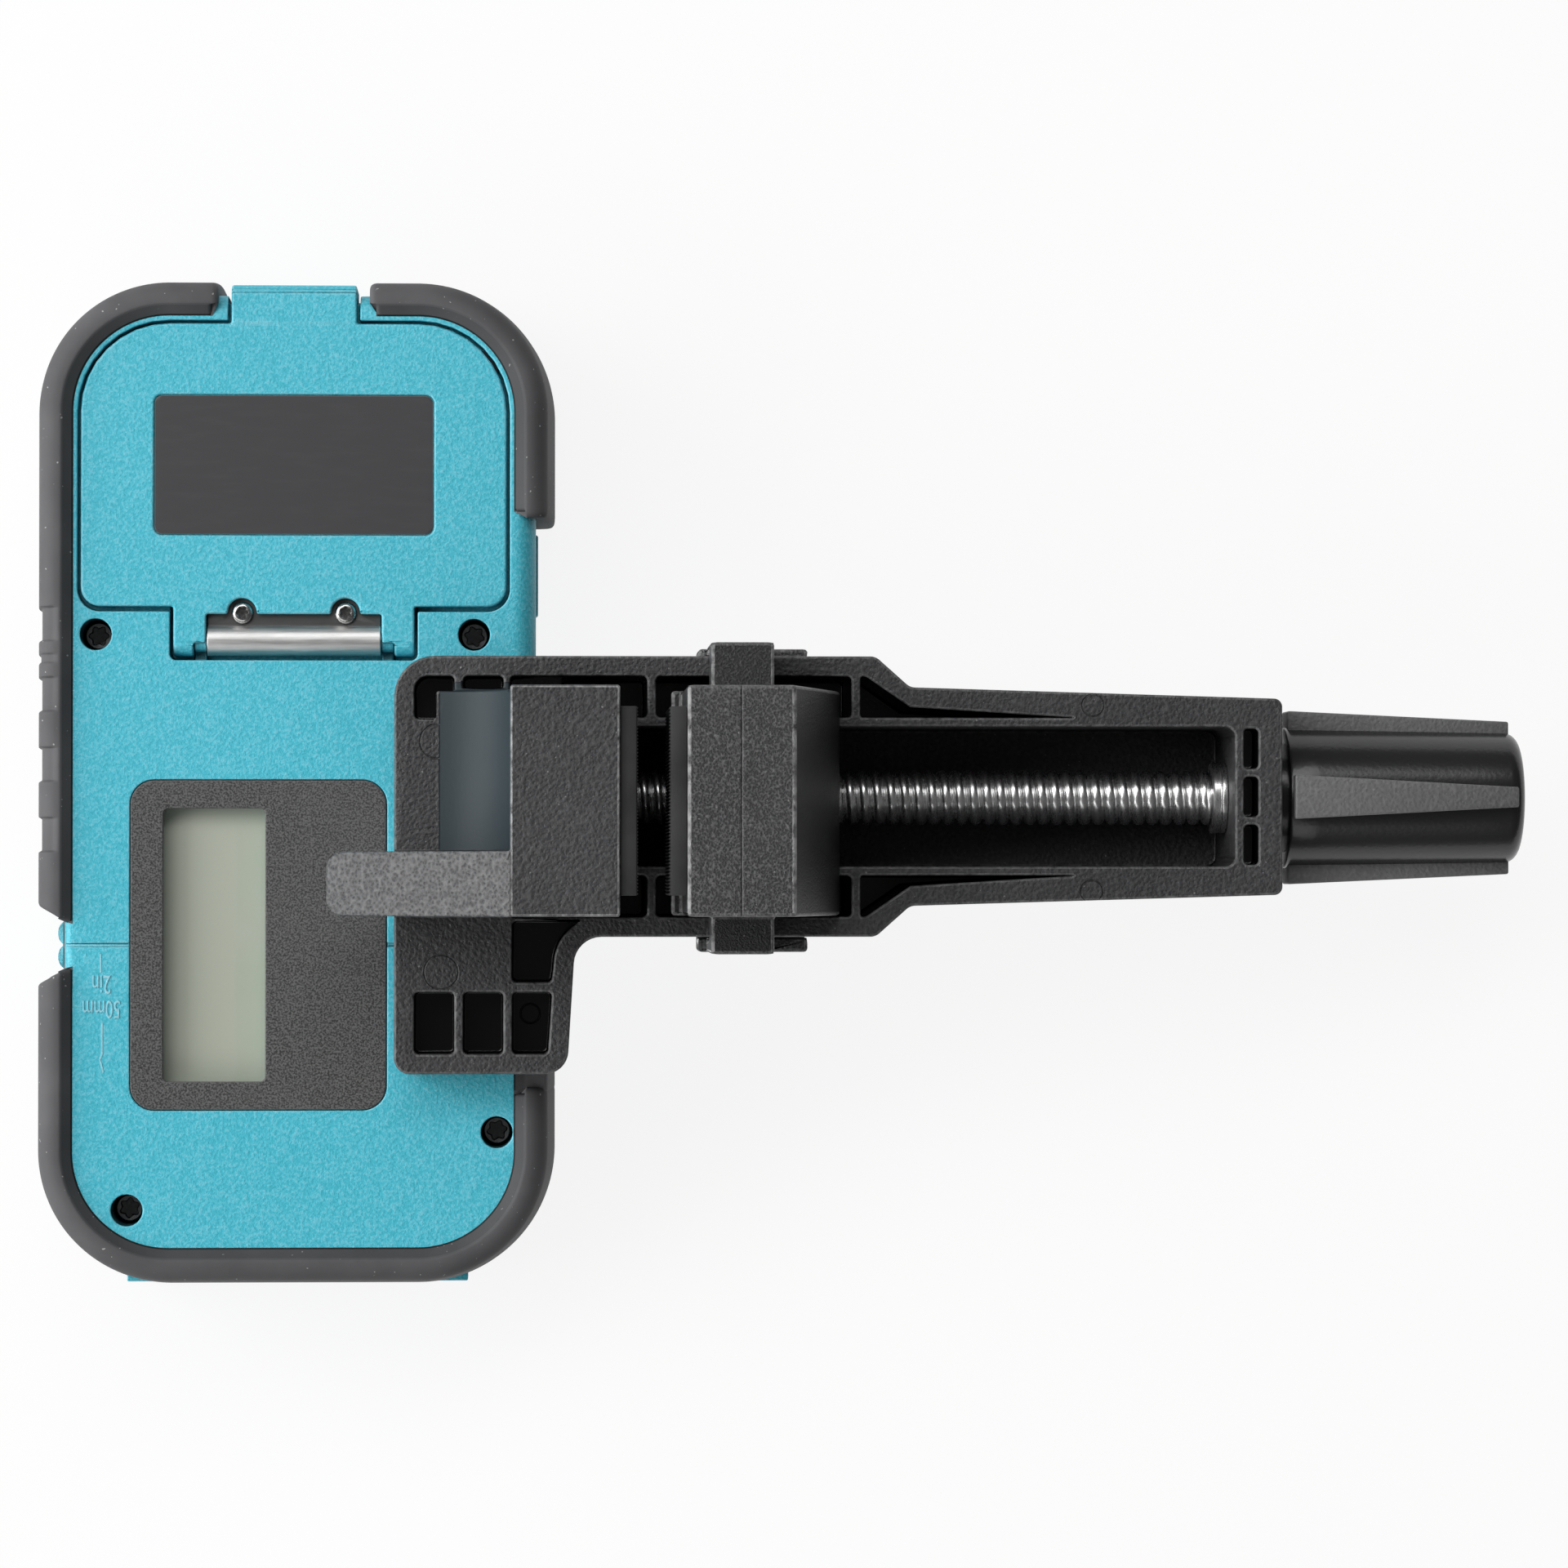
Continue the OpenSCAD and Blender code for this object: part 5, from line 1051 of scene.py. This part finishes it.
def sweep_rubber(name, path, start, stop, section, grips=(), pads=(), slant=(0, 0), back=(0, 0)):
    """Rubber along the outline from start to stop, with grips and pad seats cut in. Its ends are round,
    slanted or stepped."""
    ring, outs, band = section
    thick = max(q.x for q in ring)
    run = stop - start
    spacing, flat, rise, slant_run, back_run = (c * MM for c in (0.7, 0.3, 1.2, 6, 2.5))
    close = [c * MM for c in (0.0, 0.1, 0.25, 0.45, 0.7, 1.0)]
    count = int((run - 2 * close[-1]) / spacing)
    stations = close + [close[-1] + (run - 2 * close[-1]) * i / count for i in range(1, count)]
    stations += [run - c for c in close]
    for low, high, *_ in (*grips, *pads):
        stations += [at - start + d * MM for at in (low, high)
                     for d in (-0.3, -0.15, -0.03, 0.03, 0.15, 0.3)]
    work = bmesh.new()
    mark = work.faces.layers.float.new("painted_shade")
    rings = []
    for s in sorted(set(stations)):
        end = 0 if s < run / 2 else 1
        near = min(s, run - s)
        sunk = close[-1] - math.sqrt(max(close[-1] ** 2 - (close[-1] - min(near, close[-1])) ** 2, 0))
        dip = max((depth * window(start + s, low, high) for low, high, depth in grips), default=0)
        pad = max((window(start + s, low, high, 0.05 * MM) for low, high in pads), default=0)
        row = []
        for q, out in zip(ring, outs):
            off = Vector((0, 0))
            if out is not None:
                off = -out * (0.75 * sunk + dip * ease((q.x - band - flat) / rise))
            if SEAT_BAND[0] < q.y < SEAT_BAND[1] and q.x == thick:
                off.x -= pad * thick
            shift = slant[end] * (q.x - ring[0].x) * max(1 - near / slant_run, 0)
            if q.x < band:
                shift += back[end] * max(1 - near / back_run, 0)
            point, way = path.at(start + s + (shift if end == 0 else -shift))
            point = point + way * (q.x + off.x)
            row.append(work.verts.new((CASE_X + point.x, point.y, q.y + off.y)))
        rings.append(row)
    join_rings(work, rings)
    # Painted shade: the first rows of the section, the inner lip beside the case, are darkened, the first
    # fully and the next two less.
    for v, shade_share in ((0, 1.0), (1, 0.35), (2, 0.15)):
        for row in rings:
            for face in row[v].link_faces:
                if row[v + 1] in face.verts:
                    face[mark] = max(face[mark], shade_share)
    cap_ends(work, rings)
    bmesh.ops.triangulate(work, faces=work.faces)
    return to_mesh(name, work, 40)


def united(name, *parts):
    """One mesh of several."""
    work = bmesh.new()
    for part in parts:
        work.from_mesh(part)
        bpy.data.meshes.remove(part)
    return to_mesh(name, work, 40)


class RECEIVER_OT_bumpers(bpy.types.Operator):
    """Draws the three rubber bumpers along the case outline"""

    bl_idname = "receiver.bumpers"
    bl_label = "Rubber bumpers"

    def execute(self, context):
        look, size = finishes(context), context.scene.receiver_sizes
        section, path = rubber_section(size), Outline(size.case_corner)
        under_foot = REAR_Z + 0.05 * MM
        low_section = ([Vector((q.x, min(q.y, under_foot))) for q in section[0]], *section[1:])
        left, right, lower = (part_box("bumper_" + n) for n in ("upper_left", "upper_right", "lower"))
        flank = max(v.co.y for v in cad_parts["bumper_lower"].data.vertices if v.co.x > CASE_X)
        foot = path.around / 2 + path.on_end(0)
        step, slope, pad = 0.9 * MM, 0.463, path.end + path.radius * math.radians(22)
        grips = [(path.on_left((y + 4.9) * MM), path.on_left(y * MM), 0.5 * MM)
                 for y in (20.4, 10.2, 0.0, -10.2)]
        grips.append((path.on_left(18.5 * MM), path.on_left(17.2 * MM), 0.35 * MM))
        seats = [(foot - pad, foot + pad)]
        right_end, left_end = (path.on_end(x - CASE_X) for x in (right[0].x, left[1].x))
        runs = (
            ("upper_right", right[0].y + 0.6 * MM, right_end, (), (), (0, 0), (step, step)),
            ("upper_left", left_end, path.on_left(left[0].y), grips, (), (0, slope), (step, 0)),
            ("lower", path.on_left(lower[1].y), path.around + flank, (), seats, (slope, 0), (0, step)),
        )
        for name, start, stop, cuts, pads, slant, back in runs:
            mesh = sweep_rubber("rubber " + name, path, start, stop, section, cuts, pads, slant, back)
            if name == "lower":
                overlap, tail_run = 1.2 * MM, 3.5 * MM
                tail = sweep_rubber("rubber tail", path, stop - overlap, stop + tail_run, low_section)
                mesh = united("rubber " + name, mesh, tail)
            put("rubber_" + name, mesh, "receiver", look["rubber"], "bumper_rubber", "bumper_" + name)
        return {"FINISHED"}


class RECEIVER_OT_case_screws(bpy.types.Operator):
    """Sets four socket screws low in their recesses"""

    bl_idname = "receiver.case_screws"
    bl_label = "Case screws"

    def execute(self, context):
        look = finishes(context)
        screw_set("case_screws", "receiver", "black_steel", look["screw"], 1.1,
                  ((2.05, 0), (2.05, 1.45), (1.8, 1.8)), (1.25, 1.0, 0.17), 0.41)
        return {"FINISHED"}


def screw_set(node, body, slot, finish, shank, head, socket, turn):
    """Socket screws in place of a CAD node of screws. Lengths are in millimetres: the shank's radius, the
    head's (radius, height) points, and the socket's radius and depth with the share of its lobes."""
    low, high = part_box(node)
    name, tall = node[:-1], head[-1][1] * MM
    profile = [(shank * MM, tall - (high.z - low.z)), (shank * MM, 0)]
    profile += [(radius * MM, z * MM) for radius, z in head]
    template = screw_template(name, profile, socket[0] * MM, socket[1] * MM, socket[2])
    spots = points_mesh(name + " spots", [(x, y, high.z - tall) for x, y in screw_spots(node)])
    mesh = grow(name + " set", screw_tree(), spots, {"Screw": template, "Turn": turn, "Finish": finish})
    bpy.data.objects.remove(template)
    put(name + "_set", mesh, body, None, slot, node)


def screw_spots(node):
    """Axes of the separate screws in a CAD node."""
    work = merged(node)
    left, spots = set(work.verts), []
    while left:
        group, edge = set(), [left.pop()]
        while edge:
            v = edge.pop()
            group.add(v)
            for e in v.link_edges:
                other = e.other_vert(v)
                if other in left:
                    left.remove(other)
                    edge.append(other)
        xs, ys = [v.co.x for v in group], [v.co.y for v in group]
        spots.append(((min(xs) + max(xs)) / 2, (min(ys) + max(ys)) / 2))
    work.free()
    return sorted(spots)


class RECEIVER_OT_door(bpy.types.Operator):
    """Dresses the battery door and its bare label plate"""

    bl_idname = "receiver.door"
    bl_label = "Battery door"

    def execute(self, context):
        look, size = finishes(context), context.scene.receiver_sizes
        dress("battery_door", "door", look["teal"], "teal_plastic", size.door_edge, shape=level_tab,
              painted_shade=sheltered)
        dress("label_plate", "door", look["label"], "dark_panel", LABEL_EDGE, segments=2)
        return {"FINISHED"}


def level_tab(work):
    """Brings the latch tab level with the door, so that the two run on as one face."""
    half, foot, top = 9.1 * MM, 66.0 * MM, REAR_Z - 0.3 * MM
    for x in (CASE_X - half, CASE_X + half):
        slice_across(work, (x, 0, 0), (1, 0, 0))
    for v in work.verts:
        if v.co.y > foot and abs(v.co.z - top) < 2e-5:
            v.co.z = REAR_Z
    weld(work)
    join_flats(work)


def leaf_flat(work, mark):
    """Marks the flat of the hinge leaf and its screw seats, which lie in shade beside the barrel."""
    barrel_side, top = 22.6 * MM, 28.9 * MM
    for face in work.faces:
        middle = face.calc_center_median()
        if middle.z < top and middle.y > barrel_side:
            face[mark] = 1.0


class RECEIVER_OT_hinge(bpy.types.Operator):
    """Dresses the hinge leaf, its pin and its two screws"""

    bl_idname = "receiver.hinge"
    bl_label = "Door hinge"

    def execute(self, context):
        look, size = finishes(context), context.scene.receiver_sizes
        dress("hinge_leaf", "door", look["barrel"], "steel", size.metal_edge, painted_shade=leaf_flat)
        dress("hinge_pin", "receiver", look["barrel"], "steel", size.metal_edge)
        screw_set("hinge_screws", "door", "steel", look["bright_screw"], 0.9,
                  ((1.6, 0), (1.6, 0.3), (1.5, 0.6), (1.28, 0.82), (1.0, 0.95)), (0.8, 0.55, 0.1), 0.5)
        return {"FINISHED"}


class RECEIVER_OT_display(bpy.types.Operator):
    """Dresses the rear display and the plate round it"""

    bl_idname = "receiver.display"
    bl_label = "Rear display"

    def execute(self, context):
        look, size = finishes(context), context.scene.receiver_sizes
        dress("rear_panel", "receiver", look["panel"], "dark_panel", size.panel_edge)
        dress("rear_lcd", "receiver", look["display"], "lcd", size.panel_edge)
        dress("lcd_frame", "receiver", look["black"], "black_part", size.panel_edge)
        return {"FINISHED"}


class RECEIVER_OT_front(bpy.types.Operator):
    """Dresses the front plate, display, beam window and keys"""

    bl_idname = "receiver.front"
    bl_label = "Front face"

    def execute(self, context):
        look, size = finishes(context), context.scene.receiver_sizes
        dress("front_panel", "receiver", look["panel"], "dark_panel", size.panel_edge)
        dress("front_lcd", "receiver", look["front_display"], "lcd", size.panel_edge)
        dress("sensor_window", "receiver", look["window"], "beam_window", size.case_edge)
        for key in ("power", "sound", "accuracy"):
            dress("key_" + key, key + "_key", look["key"], "key_plastic", KEY_EDGE)
        return {"FINISHED"}


class RECEIVER_OT_inside(bpy.types.Operator):
    """Finishes the boards, sounder, switches, battery and seals inside the case"""

    bl_idname = "receiver.inside"
    bl_label = "Inside of the case"

    def execute(self, context):
        look, size = finishes(context), context.scene.receiver_sizes
        for node in ("main_board", "sensor_board"):
            paint(node, look["board"])
        for node in ("photodiodes", "buzzer", "key_switches"):
            paint(node, look["black"])
        paint("door_seal", look["rubber"])
        dress("battery", "receiver", look["can"], "battery_can", CAN_EDGE)
        dress("battery_contacts", "receiver", look["black"], "black_part", size.metal_edge)
        return {"FINISHED"}


def bend_pockets(work):
    """Carries the foot's corner pocket round the arm's bend, narrows the one below it, rounds the first."""
    floor, middle, reach = 33 * MM, spot(44.66, -26.55, 0), 6.9 * MM
    wall, foot, head = spot(37.55, 0, 0).x, -28.4 * MM, -20.2 * MM
    narrow_foot, narrow_head, narrower = -39.5 * MM, -30.4 * MM, 0.6 * MM
    sides = [e for e in work.edges
             if all(abs(v.co.x - wall) < 2e-5 and -28.5 * MM < v.co.y < -20.8 * MM for v in e.verts)
             and abs(e.verts[0].co.y - e.verts[1].co.y) > 5 * MM]
    bmesh.ops.subdivide_edges(work, edges=sides, cuts=11, use_grid_fill=True)
    for v in work.verts:
        if v.co.z < floor or not wall - 0.75 * MM < v.co.x < wall + 0.05 * MM:
            continue
        if foot < v.co.y < head:
            rise = max(v.co.y - middle.y, 0)
            ease_in = min((v.co.y - foot) / (1.8 * MM), 1)
            v.co.x += (middle.x - math.sqrt(reach * reach - rise * rise) - wall) * ease_in
        elif narrow_foot < v.co.y < narrow_head:
            v.co.x += narrower * (v.co.y - narrow_head) / (9 * MM)
    corner, tight, wide = spot(17.7, 15.05, 0), 0.7 * MM, 2 * MM
    for v in work.verts:
        across, along = v.co.x - corner.x, corner.y - v.co.y
        if v.co.z > floor and all(-1e-5 < side < tight + 1e-5 for side in (across, along)):
            v.co.x += across * (wide / tight - 1)
            v.co.y -= along * (wide / tight - 1)


def quiet_rims(work, mark):
    """Marks the bracket's pockets for painted shade. Low rims, and those that face along y, get less of the
    pale edge than the rest, which is partly wear and partly painted highlight.
    """
    sheltered(work, mark)
    rim, jaw_foot, less = work.faces.layers.float["edge"], 42 * MM, 0.3
    for face in work.faces:
        if face[rim] and (abs(face.normal.y) > 0.3 or face.calc_center_median().z < jaw_foot):
            face[rim] = less


class RECEIVER_OT_bracket(bpy.types.Operator):
    """Dresses the clamp bracket"""

    bl_idname = "receiver.bracket"
    bl_label = "Clamp bracket"

    def execute(self, context):
        look, size = finishes(context), context.scene.receiver_sizes
        dress("clamp_bracket", "clamp", look["clamp"], "clamp_plastic", size.bracket_edge,
              corner=size.bracket_corner, shape=bend_pockets, painted_shade=quiet_rims)
        return {"FINISHED"}


def fill_seam(work):
    """Fills the parting seam on top of the jaw, which is too fine to round and is drawn by the finish."""
    top, seam_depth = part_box("moving_jaw")[1].z, 0.4 * MM
    for v in work.verts:
        if top - seam_depth < v.co.z:
            v.co.z = top
    weld(work)
    bmesh.ops.dissolve_degenerate(work, edges=work.edges, dist=SLIVER)
    join_flats(work)


def shade_slope(work, mark):
    """Marks the jaw's pockets for painted shade, and its smooth slope, which faces away from the lamps,
    half as much. Edges across the jaw get less of the pale edge, which is partly wear and partly painted
    highlight.
    """
    sheltered(work, mark)
    rim, slope_foot, less, half = work.faces.layers.float["edge"], 41 * MM, 0.25, 0.45
    for face in work.faces:
        if face[rim] > 0.5 and abs(face.normal.y) > 0.25:
            face[rim] = less
        if face.normal.x > 0.25 and not face[rim] and face.calc_center_median().z > slope_foot:
            face[mark] = max(face[mark], half)


class RECEIVER_OT_jaw(bpy.types.Operator):
    """Dresses the moving jaw and its nut"""

    bl_idname = "receiver.jaw"
    bl_label = "Moving jaw"

    def execute(self, context):
        look, size = finishes(context), context.scene.receiver_sizes
        dress("moving_jaw", "jaw", look["jaw"], "clamp_plastic", size.jaw_edge, corner=size.jaw_corner,
              shape=fill_seam, painted_shade=shade_slope)
        dress("lead_nut", "jaw", look["brass"], "brass", size.metal_edge)
        return {"FINISHED"}


class RECEIVER_OT_pads(bpy.types.Operator):
    """Makes the two toothed pads of the jaws"""

    bl_idname = "receiver.pads"
    bl_label = "Jaw pads"

    def execute(self, context):
        look, size = finishes(context), context.scene.receiver_sizes
        group, depth, bend, end_gap = tooth_tree(), 0.22 * MM, 0.2 * MM, 0.3 * MM
        for node, body, way in (("fixed_pad", "clamp", 1), ("moving_pad", "jaw", -1)):
            low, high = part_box(node)
            back, face = (low.x, high.x - depth) if way > 0 else (high.x, low.x + depth)
            pitch = (high.y - low.y) / size.tooth_count
            work = bmesh.new()
            block(work, Vector((min(back, face), low.y, low.z)), Vector((max(back, face), high.y, high.z)))
            bmesh.ops.bevel(work, geom=work.edges, offset=bend, segments=2, profile=0.5, affect="EDGES")
            base = to_mesh("pad base", work)
            work = bmesh.new()
            ridge = [(face, -pitch / 2), (face + way * depth, 0.0), (face, pitch / 2)]
            ends = [[work.verts.new((x, y, z)) for x, y in ridge]
                    for z in (low.z + end_gap, high.z - end_gap)]
            join_rings(work, ends)
            cap_ends(work, ends)
            tooth = bpy.data.objects.new("tooth", to_mesh("tooth", work, 20))
            mesh = grow("toothed " + node, group, base,
                        {"Tooth": tooth, "Count": size.tooth_count, "Pitch": pitch,
                         "Start": (0.0, low.y + pitch / 2, 0.0), "Finish": look["pad"]})
            bpy.data.objects.remove(tooth)
            put("toothed_" + node, mesh, body, None, "bumper_rubber", node)
        return {"FINISHED"}


def block(work, low, high):
    """A box between two corners."""
    made = bmesh.ops.create_cube(work, size=1)["verts"]
    for v in made:
        v.co = Vector(low[i] + (v.co[i] + 0.5) * (high[i] - low[i]) for i in range(3))


def on_screw(along, across, up):
    """A point beside the lead screw's axis."""
    return Vector((along, SCREW_Y + across, SCREW_Z + up))


class RECEIVER_OT_lead_screw(bpy.types.Operator):
    """Makes the left-hand lead screw and finishes its washer"""

    bl_idname = "receiver.lead_screw"
    bl_label = "Lead screw"

    def execute(self, context):
        look, size = finishes(context), context.scene.receiver_sizes
        low, high = SCREW_LOW, SCREW_HIGH
        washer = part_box("thrust_washer")[0].x
        crest, journal, ring, bend, thin = 4.0 * MM, 3.0 * MM, 5.2 * MM, 0.2 * MM, 1.3 * MM
        root, chamfer = crest - size.thread_depth, 0.3 * MM
        core = root - 0.02 * MM
        start, collar = low.x + 3.8 * MM, washer - 1.35 * MM
        turns = math.ceil((collar - start) / size.thread_pitch) + 2
        mesh = grow("thread", thread_tree(48, 8), points_mesh("thread start", []),
                    {"Start": start, "End": collar - chamfer, "Pitch": size.thread_pitch, "Turns": turns,
                     "Crest": crest, "Root": root, "Axis": (0.0, SCREW_Y, SCREW_Z),
                     "Finish": look["thread"]})
        work = bmesh.new()
        work.from_mesh(mesh)
        bmesh.ops.recalc_face_normals(work, faces=work.faces)
        lathe(work, [(low.x, 0), (low.x, journal - chamfer), (low.x + chamfer, journal), (start, journal),
                     (start, core), (collar, core), (collar, ring - bend), (collar + bend, ring),
                     (collar + thin - bend, ring), (collar + thin, ring - bend), (collar + thin, journal),
                     (high.x, journal), (high.x, 0)], on_screw)
        bpy.data.meshes.remove(mesh)
        put("threaded_screw", to_mesh("threaded screw", work, 30), "knob", look["thread"], "steel",
            "lead_screw")
        dress("thrust_washer", "clamp", look["thread"], "steel", size.metal_edge)
        return {"FINISHED"}


class RECEIVER_OT_knob(bpy.types.Operator):
    """Turns the clamp knob and sets its four tapered ribs"""

    bl_idname = "receiver.knob"
    bl_label = "Clamp knob"

    def execute(self, context):
        look, size = finishes(context), context.scene.receiver_sizes
        low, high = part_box("clamp_knob")
        reach = (high.z - low.z) / 2
        back, start, end = low.x, low.x + 1.4 * MM, high.x
        neck, wide, tip, soft = 8.0 * MM, 10.4 * MM, 9.6 * MM, 2.2 * MM
        chamfer, bend, dome, steps = 0.3 * MM, 0.5 * MM, 0.8 * MM, 8
        straight = end - start - soft - bend - dome
        profile = [(back, 0), (back, neck - chamfer), (back + chamfer, neck), (start, neck),
                   (start, wide - bend), (start + 0.3 * bend, wide - 0.3 * bend), (start + bend, wide)]
        profile += [(start + bend + straight * i / steps, wide + (tip - wide) * i / steps)
                    for i in range(1, steps + 1)]
        profile += [(end - dome - soft + soft * math.sin(a), tip - soft + soft * math.cos(a))
                    for a in (math.pi / 2 * i / steps for i in range(1, steps))]
        profile += [(end - 0.75 * MM, tip - soft), (end - 0.35 * MM, tip / 2), (end, 0)]
        work = bmesh.new()
        lathe(work, profile, on_screw, 96)
        # Painted shade: the whole turned body is marked to be darkened, so that the unmarked ribs stand out
        # lighter.
        mark, shaded = work.faces.layers.float.new("painted_shade"), 0.92
        for face in work.faces:
            face[mark] = shaded
        rib, foot, first, last = bmesh.new(), wide / 2, start + 0.4 * MM, end - 2.2 * MM
        broad, slim, fall = 3.2 * MM, 1.45 * MM, 1.5 * MM
        ends = [[rib.verts.new((x, y * half, z)) for y, z in ((-1, foot), (1, foot), (1, top), (-1, top))]
                for x, half, top in ((first, broad, reach), (last, slim, reach - fall))]
        join_rings(rib, ends)
        cap_ends(rib, ends)
        bevel(rib, list(rib.edges), size.knob_edge, 3)
        one = bpy.data.meshes.new("rib")
        rib.to_mesh(one)
        rib.free()
        for quarter in range(4):
            turned = one.copy()
            turned.transform(Matrix.Translation((0, SCREW_Y, SCREW_Z))
                             @ Matrix.Rotation(quarter * math.pi / 2, 4, "X"))
            work.from_mesh(turned)
            bpy.data.meshes.remove(turned)
        bpy.data.meshes.remove(one)
        bmesh.ops.triangulate(work, faces=work.faces)
        put("ribbed_knob", to_mesh("ribbed knob", work, 32), "knob", look["knob"], "clamp_plastic",
            "clamp_knob")
        return {"FINISHED"}


FLOOR_HALF, FLOOR_DROP, SKY = 3, 0.0002, 0.1
EYE, AIM = Vector((-0.0373, -0.0136, 0.91)), Vector((0.0003, -0.00035, 0.03))
LAMP_AIM = Vector((0, 0, 0.03))
# Name, place, width and depth, and power of each lamp.
SOFT_BOXES = (("far box", (-0.45, 0.65, 1.2), (2.0, 0.5), 11.8),
              ("near box", (-0.45, -1.0, 0.85), (1.6, 0.6), 3.9),
              ("left box", (-1.2, 0.1, 0.5), (1.4, 0.9), 17.8))


class RECEIVER_OT_stage(bpy.types.Operator):
    """Sets the pale floor, the soft lights and the camera over the rear face"""

    bl_idname = "receiver.stage"
    bl_label = "Stage"

    def execute(self, context):
        scene = context.scene
        scene.view_settings.view_transform = "Standard"
        work = bmesh.new()
        bmesh.ops.create_grid(work, x_segments=8, y_segments=8, size=FLOOR_HALF)
        bmesh.ops.translate(work, verts=work.verts, vec=(0, 0, -FLOOR_DROP))
        floor = bpy.data.objects.new("floor", to_mesh("floor", work))
        scene.collection.objects.link(floor)
        floor.data.materials.append(stage_white())
        scene.world = scene.world or bpy.data.worlds.new("room")
        scene.world.use_nodes = True
        sky = scene.world.node_tree.nodes["Background"]
        sky.inputs["Color"].default_value = (1, 1, 1, 1)
        sky.inputs["Strength"].default_value = SKY
        for name, place, wide, power in SOFT_BOXES:
            lamp = bpy.data.lights.new(name, "AREA")
            lamp.shape, lamp.size, lamp.size_y, lamp.energy = "RECTANGLE", *wide, power
            held = bpy.data.objects.new(name, lamp)
            held.location = place
            held.rotation_euler = (LAMP_AIM - Vector(place)).to_track_quat("-Z", "Y").to_euler()
            scene.collection.objects.link(held)
        camera = bpy.data.cameras.new("camera")
        camera.sensor_width, camera.lens = 36, scene.receiver_sizes.lens
        camera.clip_start, camera.clip_end = 0.05, 20
        held = bpy.data.objects.new("camera", camera)
        back = (EYE - AIM).normalized()
        side = Vector((0, 1, 0)).cross(back).normalized()
        up = back.cross(side)
        held.matrix_world = Matrix.Translation(EYE) @ Matrix((side, up, back)).transposed().to_4x4()
        scene.collection.objects.link(held)
        scene.camera = held
        return {"FINISHED"}


def stage_white():
    """Pale floor: nearly white to the camera, it keeps the shadow and lets the view through from below."""
    made = bpy.data.materials.new("pale floor")
    made.use_nodes = True
    made.node_tree.nodes.clear()
    tree = Tree(made.node_tree)
    path = tree.add("ShaderNodeLightPath", out="Is Camera Ray")
    bounced = path.math("MAXIMUM", path.out("Is Glossy Ray"), path.out("Is Transmission Ray"))
    seen = path.math("MAXIMUM", path, bounced)
    dusty = tree.mix(tree.noise(tree.place(), 0.4, 2.0), (0.93, 0.93, 0.93), (0.95, 0.95, 0.95))
    chalk = tree.add("ShaderNodeBsdfDiffuse", None, {"Color": dusty})
    glow = tree.add("ShaderNodeEmission", None, {"Color": (1, 1, 1, 1), "Strength": 1.0})
    front = tree.add("ShaderNodeMixShader", None, {0: seen * 0.88, 1: chalk, 2: glow})
    clear = tree.add("ShaderNodeBsdfTransparent")
    below = tree.add("ShaderNodeNewGeometry", out="Backfacing")
    both = tree.add("ShaderNodeMixShader", None, {0: below, 1: front, 2: clear})
    tree.add("ShaderNodeOutputMaterial", None, {"Surface": both})
    return made


class RECEIVER_PT_panel(bpy.types.Panel):
    """Lists the pieces of the receiver and the sizes and colours behind them"""

    bl_idname = "RECEIVER_PT_panel"
    bl_label = "Laser receiver"
    bl_space_type = "VIEW_3D"
    bl_region_type = "UI"
    bl_category = "Receiver"

    def draw(self, context):
        for group in (context.scene.receiver_colours, context.scene.receiver_sizes):
            for name in type(group).__annotations__:
                self.layout.prop(group, name)
        for step in STEPS:
            self.layout.operator(step.bl_idname)


GROUPS = (ReceiverColours, ReceiverSizes)
STEPS = (RECEIVER_OT_case, RECEIVER_OT_size_mark, RECEIVER_OT_bumpers, RECEIVER_OT_case_screws,
         RECEIVER_OT_door, RECEIVER_OT_hinge, RECEIVER_OT_display, RECEIVER_OT_front, RECEIVER_OT_inside,
         RECEIVER_OT_bracket, RECEIVER_OT_jaw, RECEIVER_OT_pads, RECEIVER_OT_lead_screw, RECEIVER_OT_knob,
         RECEIVER_OT_stage)


def register():
    """Makes the operators, the panel and its values known to Blender."""
    for each in (*GROUPS, *STEPS, RECEIVER_PT_panel):
        bpy.utils.register_class(each)
    bpy.types.Scene.receiver_colours = PointerProperty(type=ReceiverColours)
    bpy.types.Scene.receiver_sizes = PointerProperty(type=ReceiverSizes)


def unregister():
    """Takes back what register() did."""
    del bpy.types.Scene.receiver_colours, bpy.types.Scene.receiver_sizes
    for each in reversed((*GROUPS, *STEPS, RECEIVER_PT_panel)):
        bpy.utils.unregister_class(each)


def main():
    """Builds every piece in turn."""
    register()
    for step in STEPS:
        group, name = step.bl_idname.split(".")
        getattr(getattr(bpy.ops, group), name)()


if __name__ == "__main__":
    main()
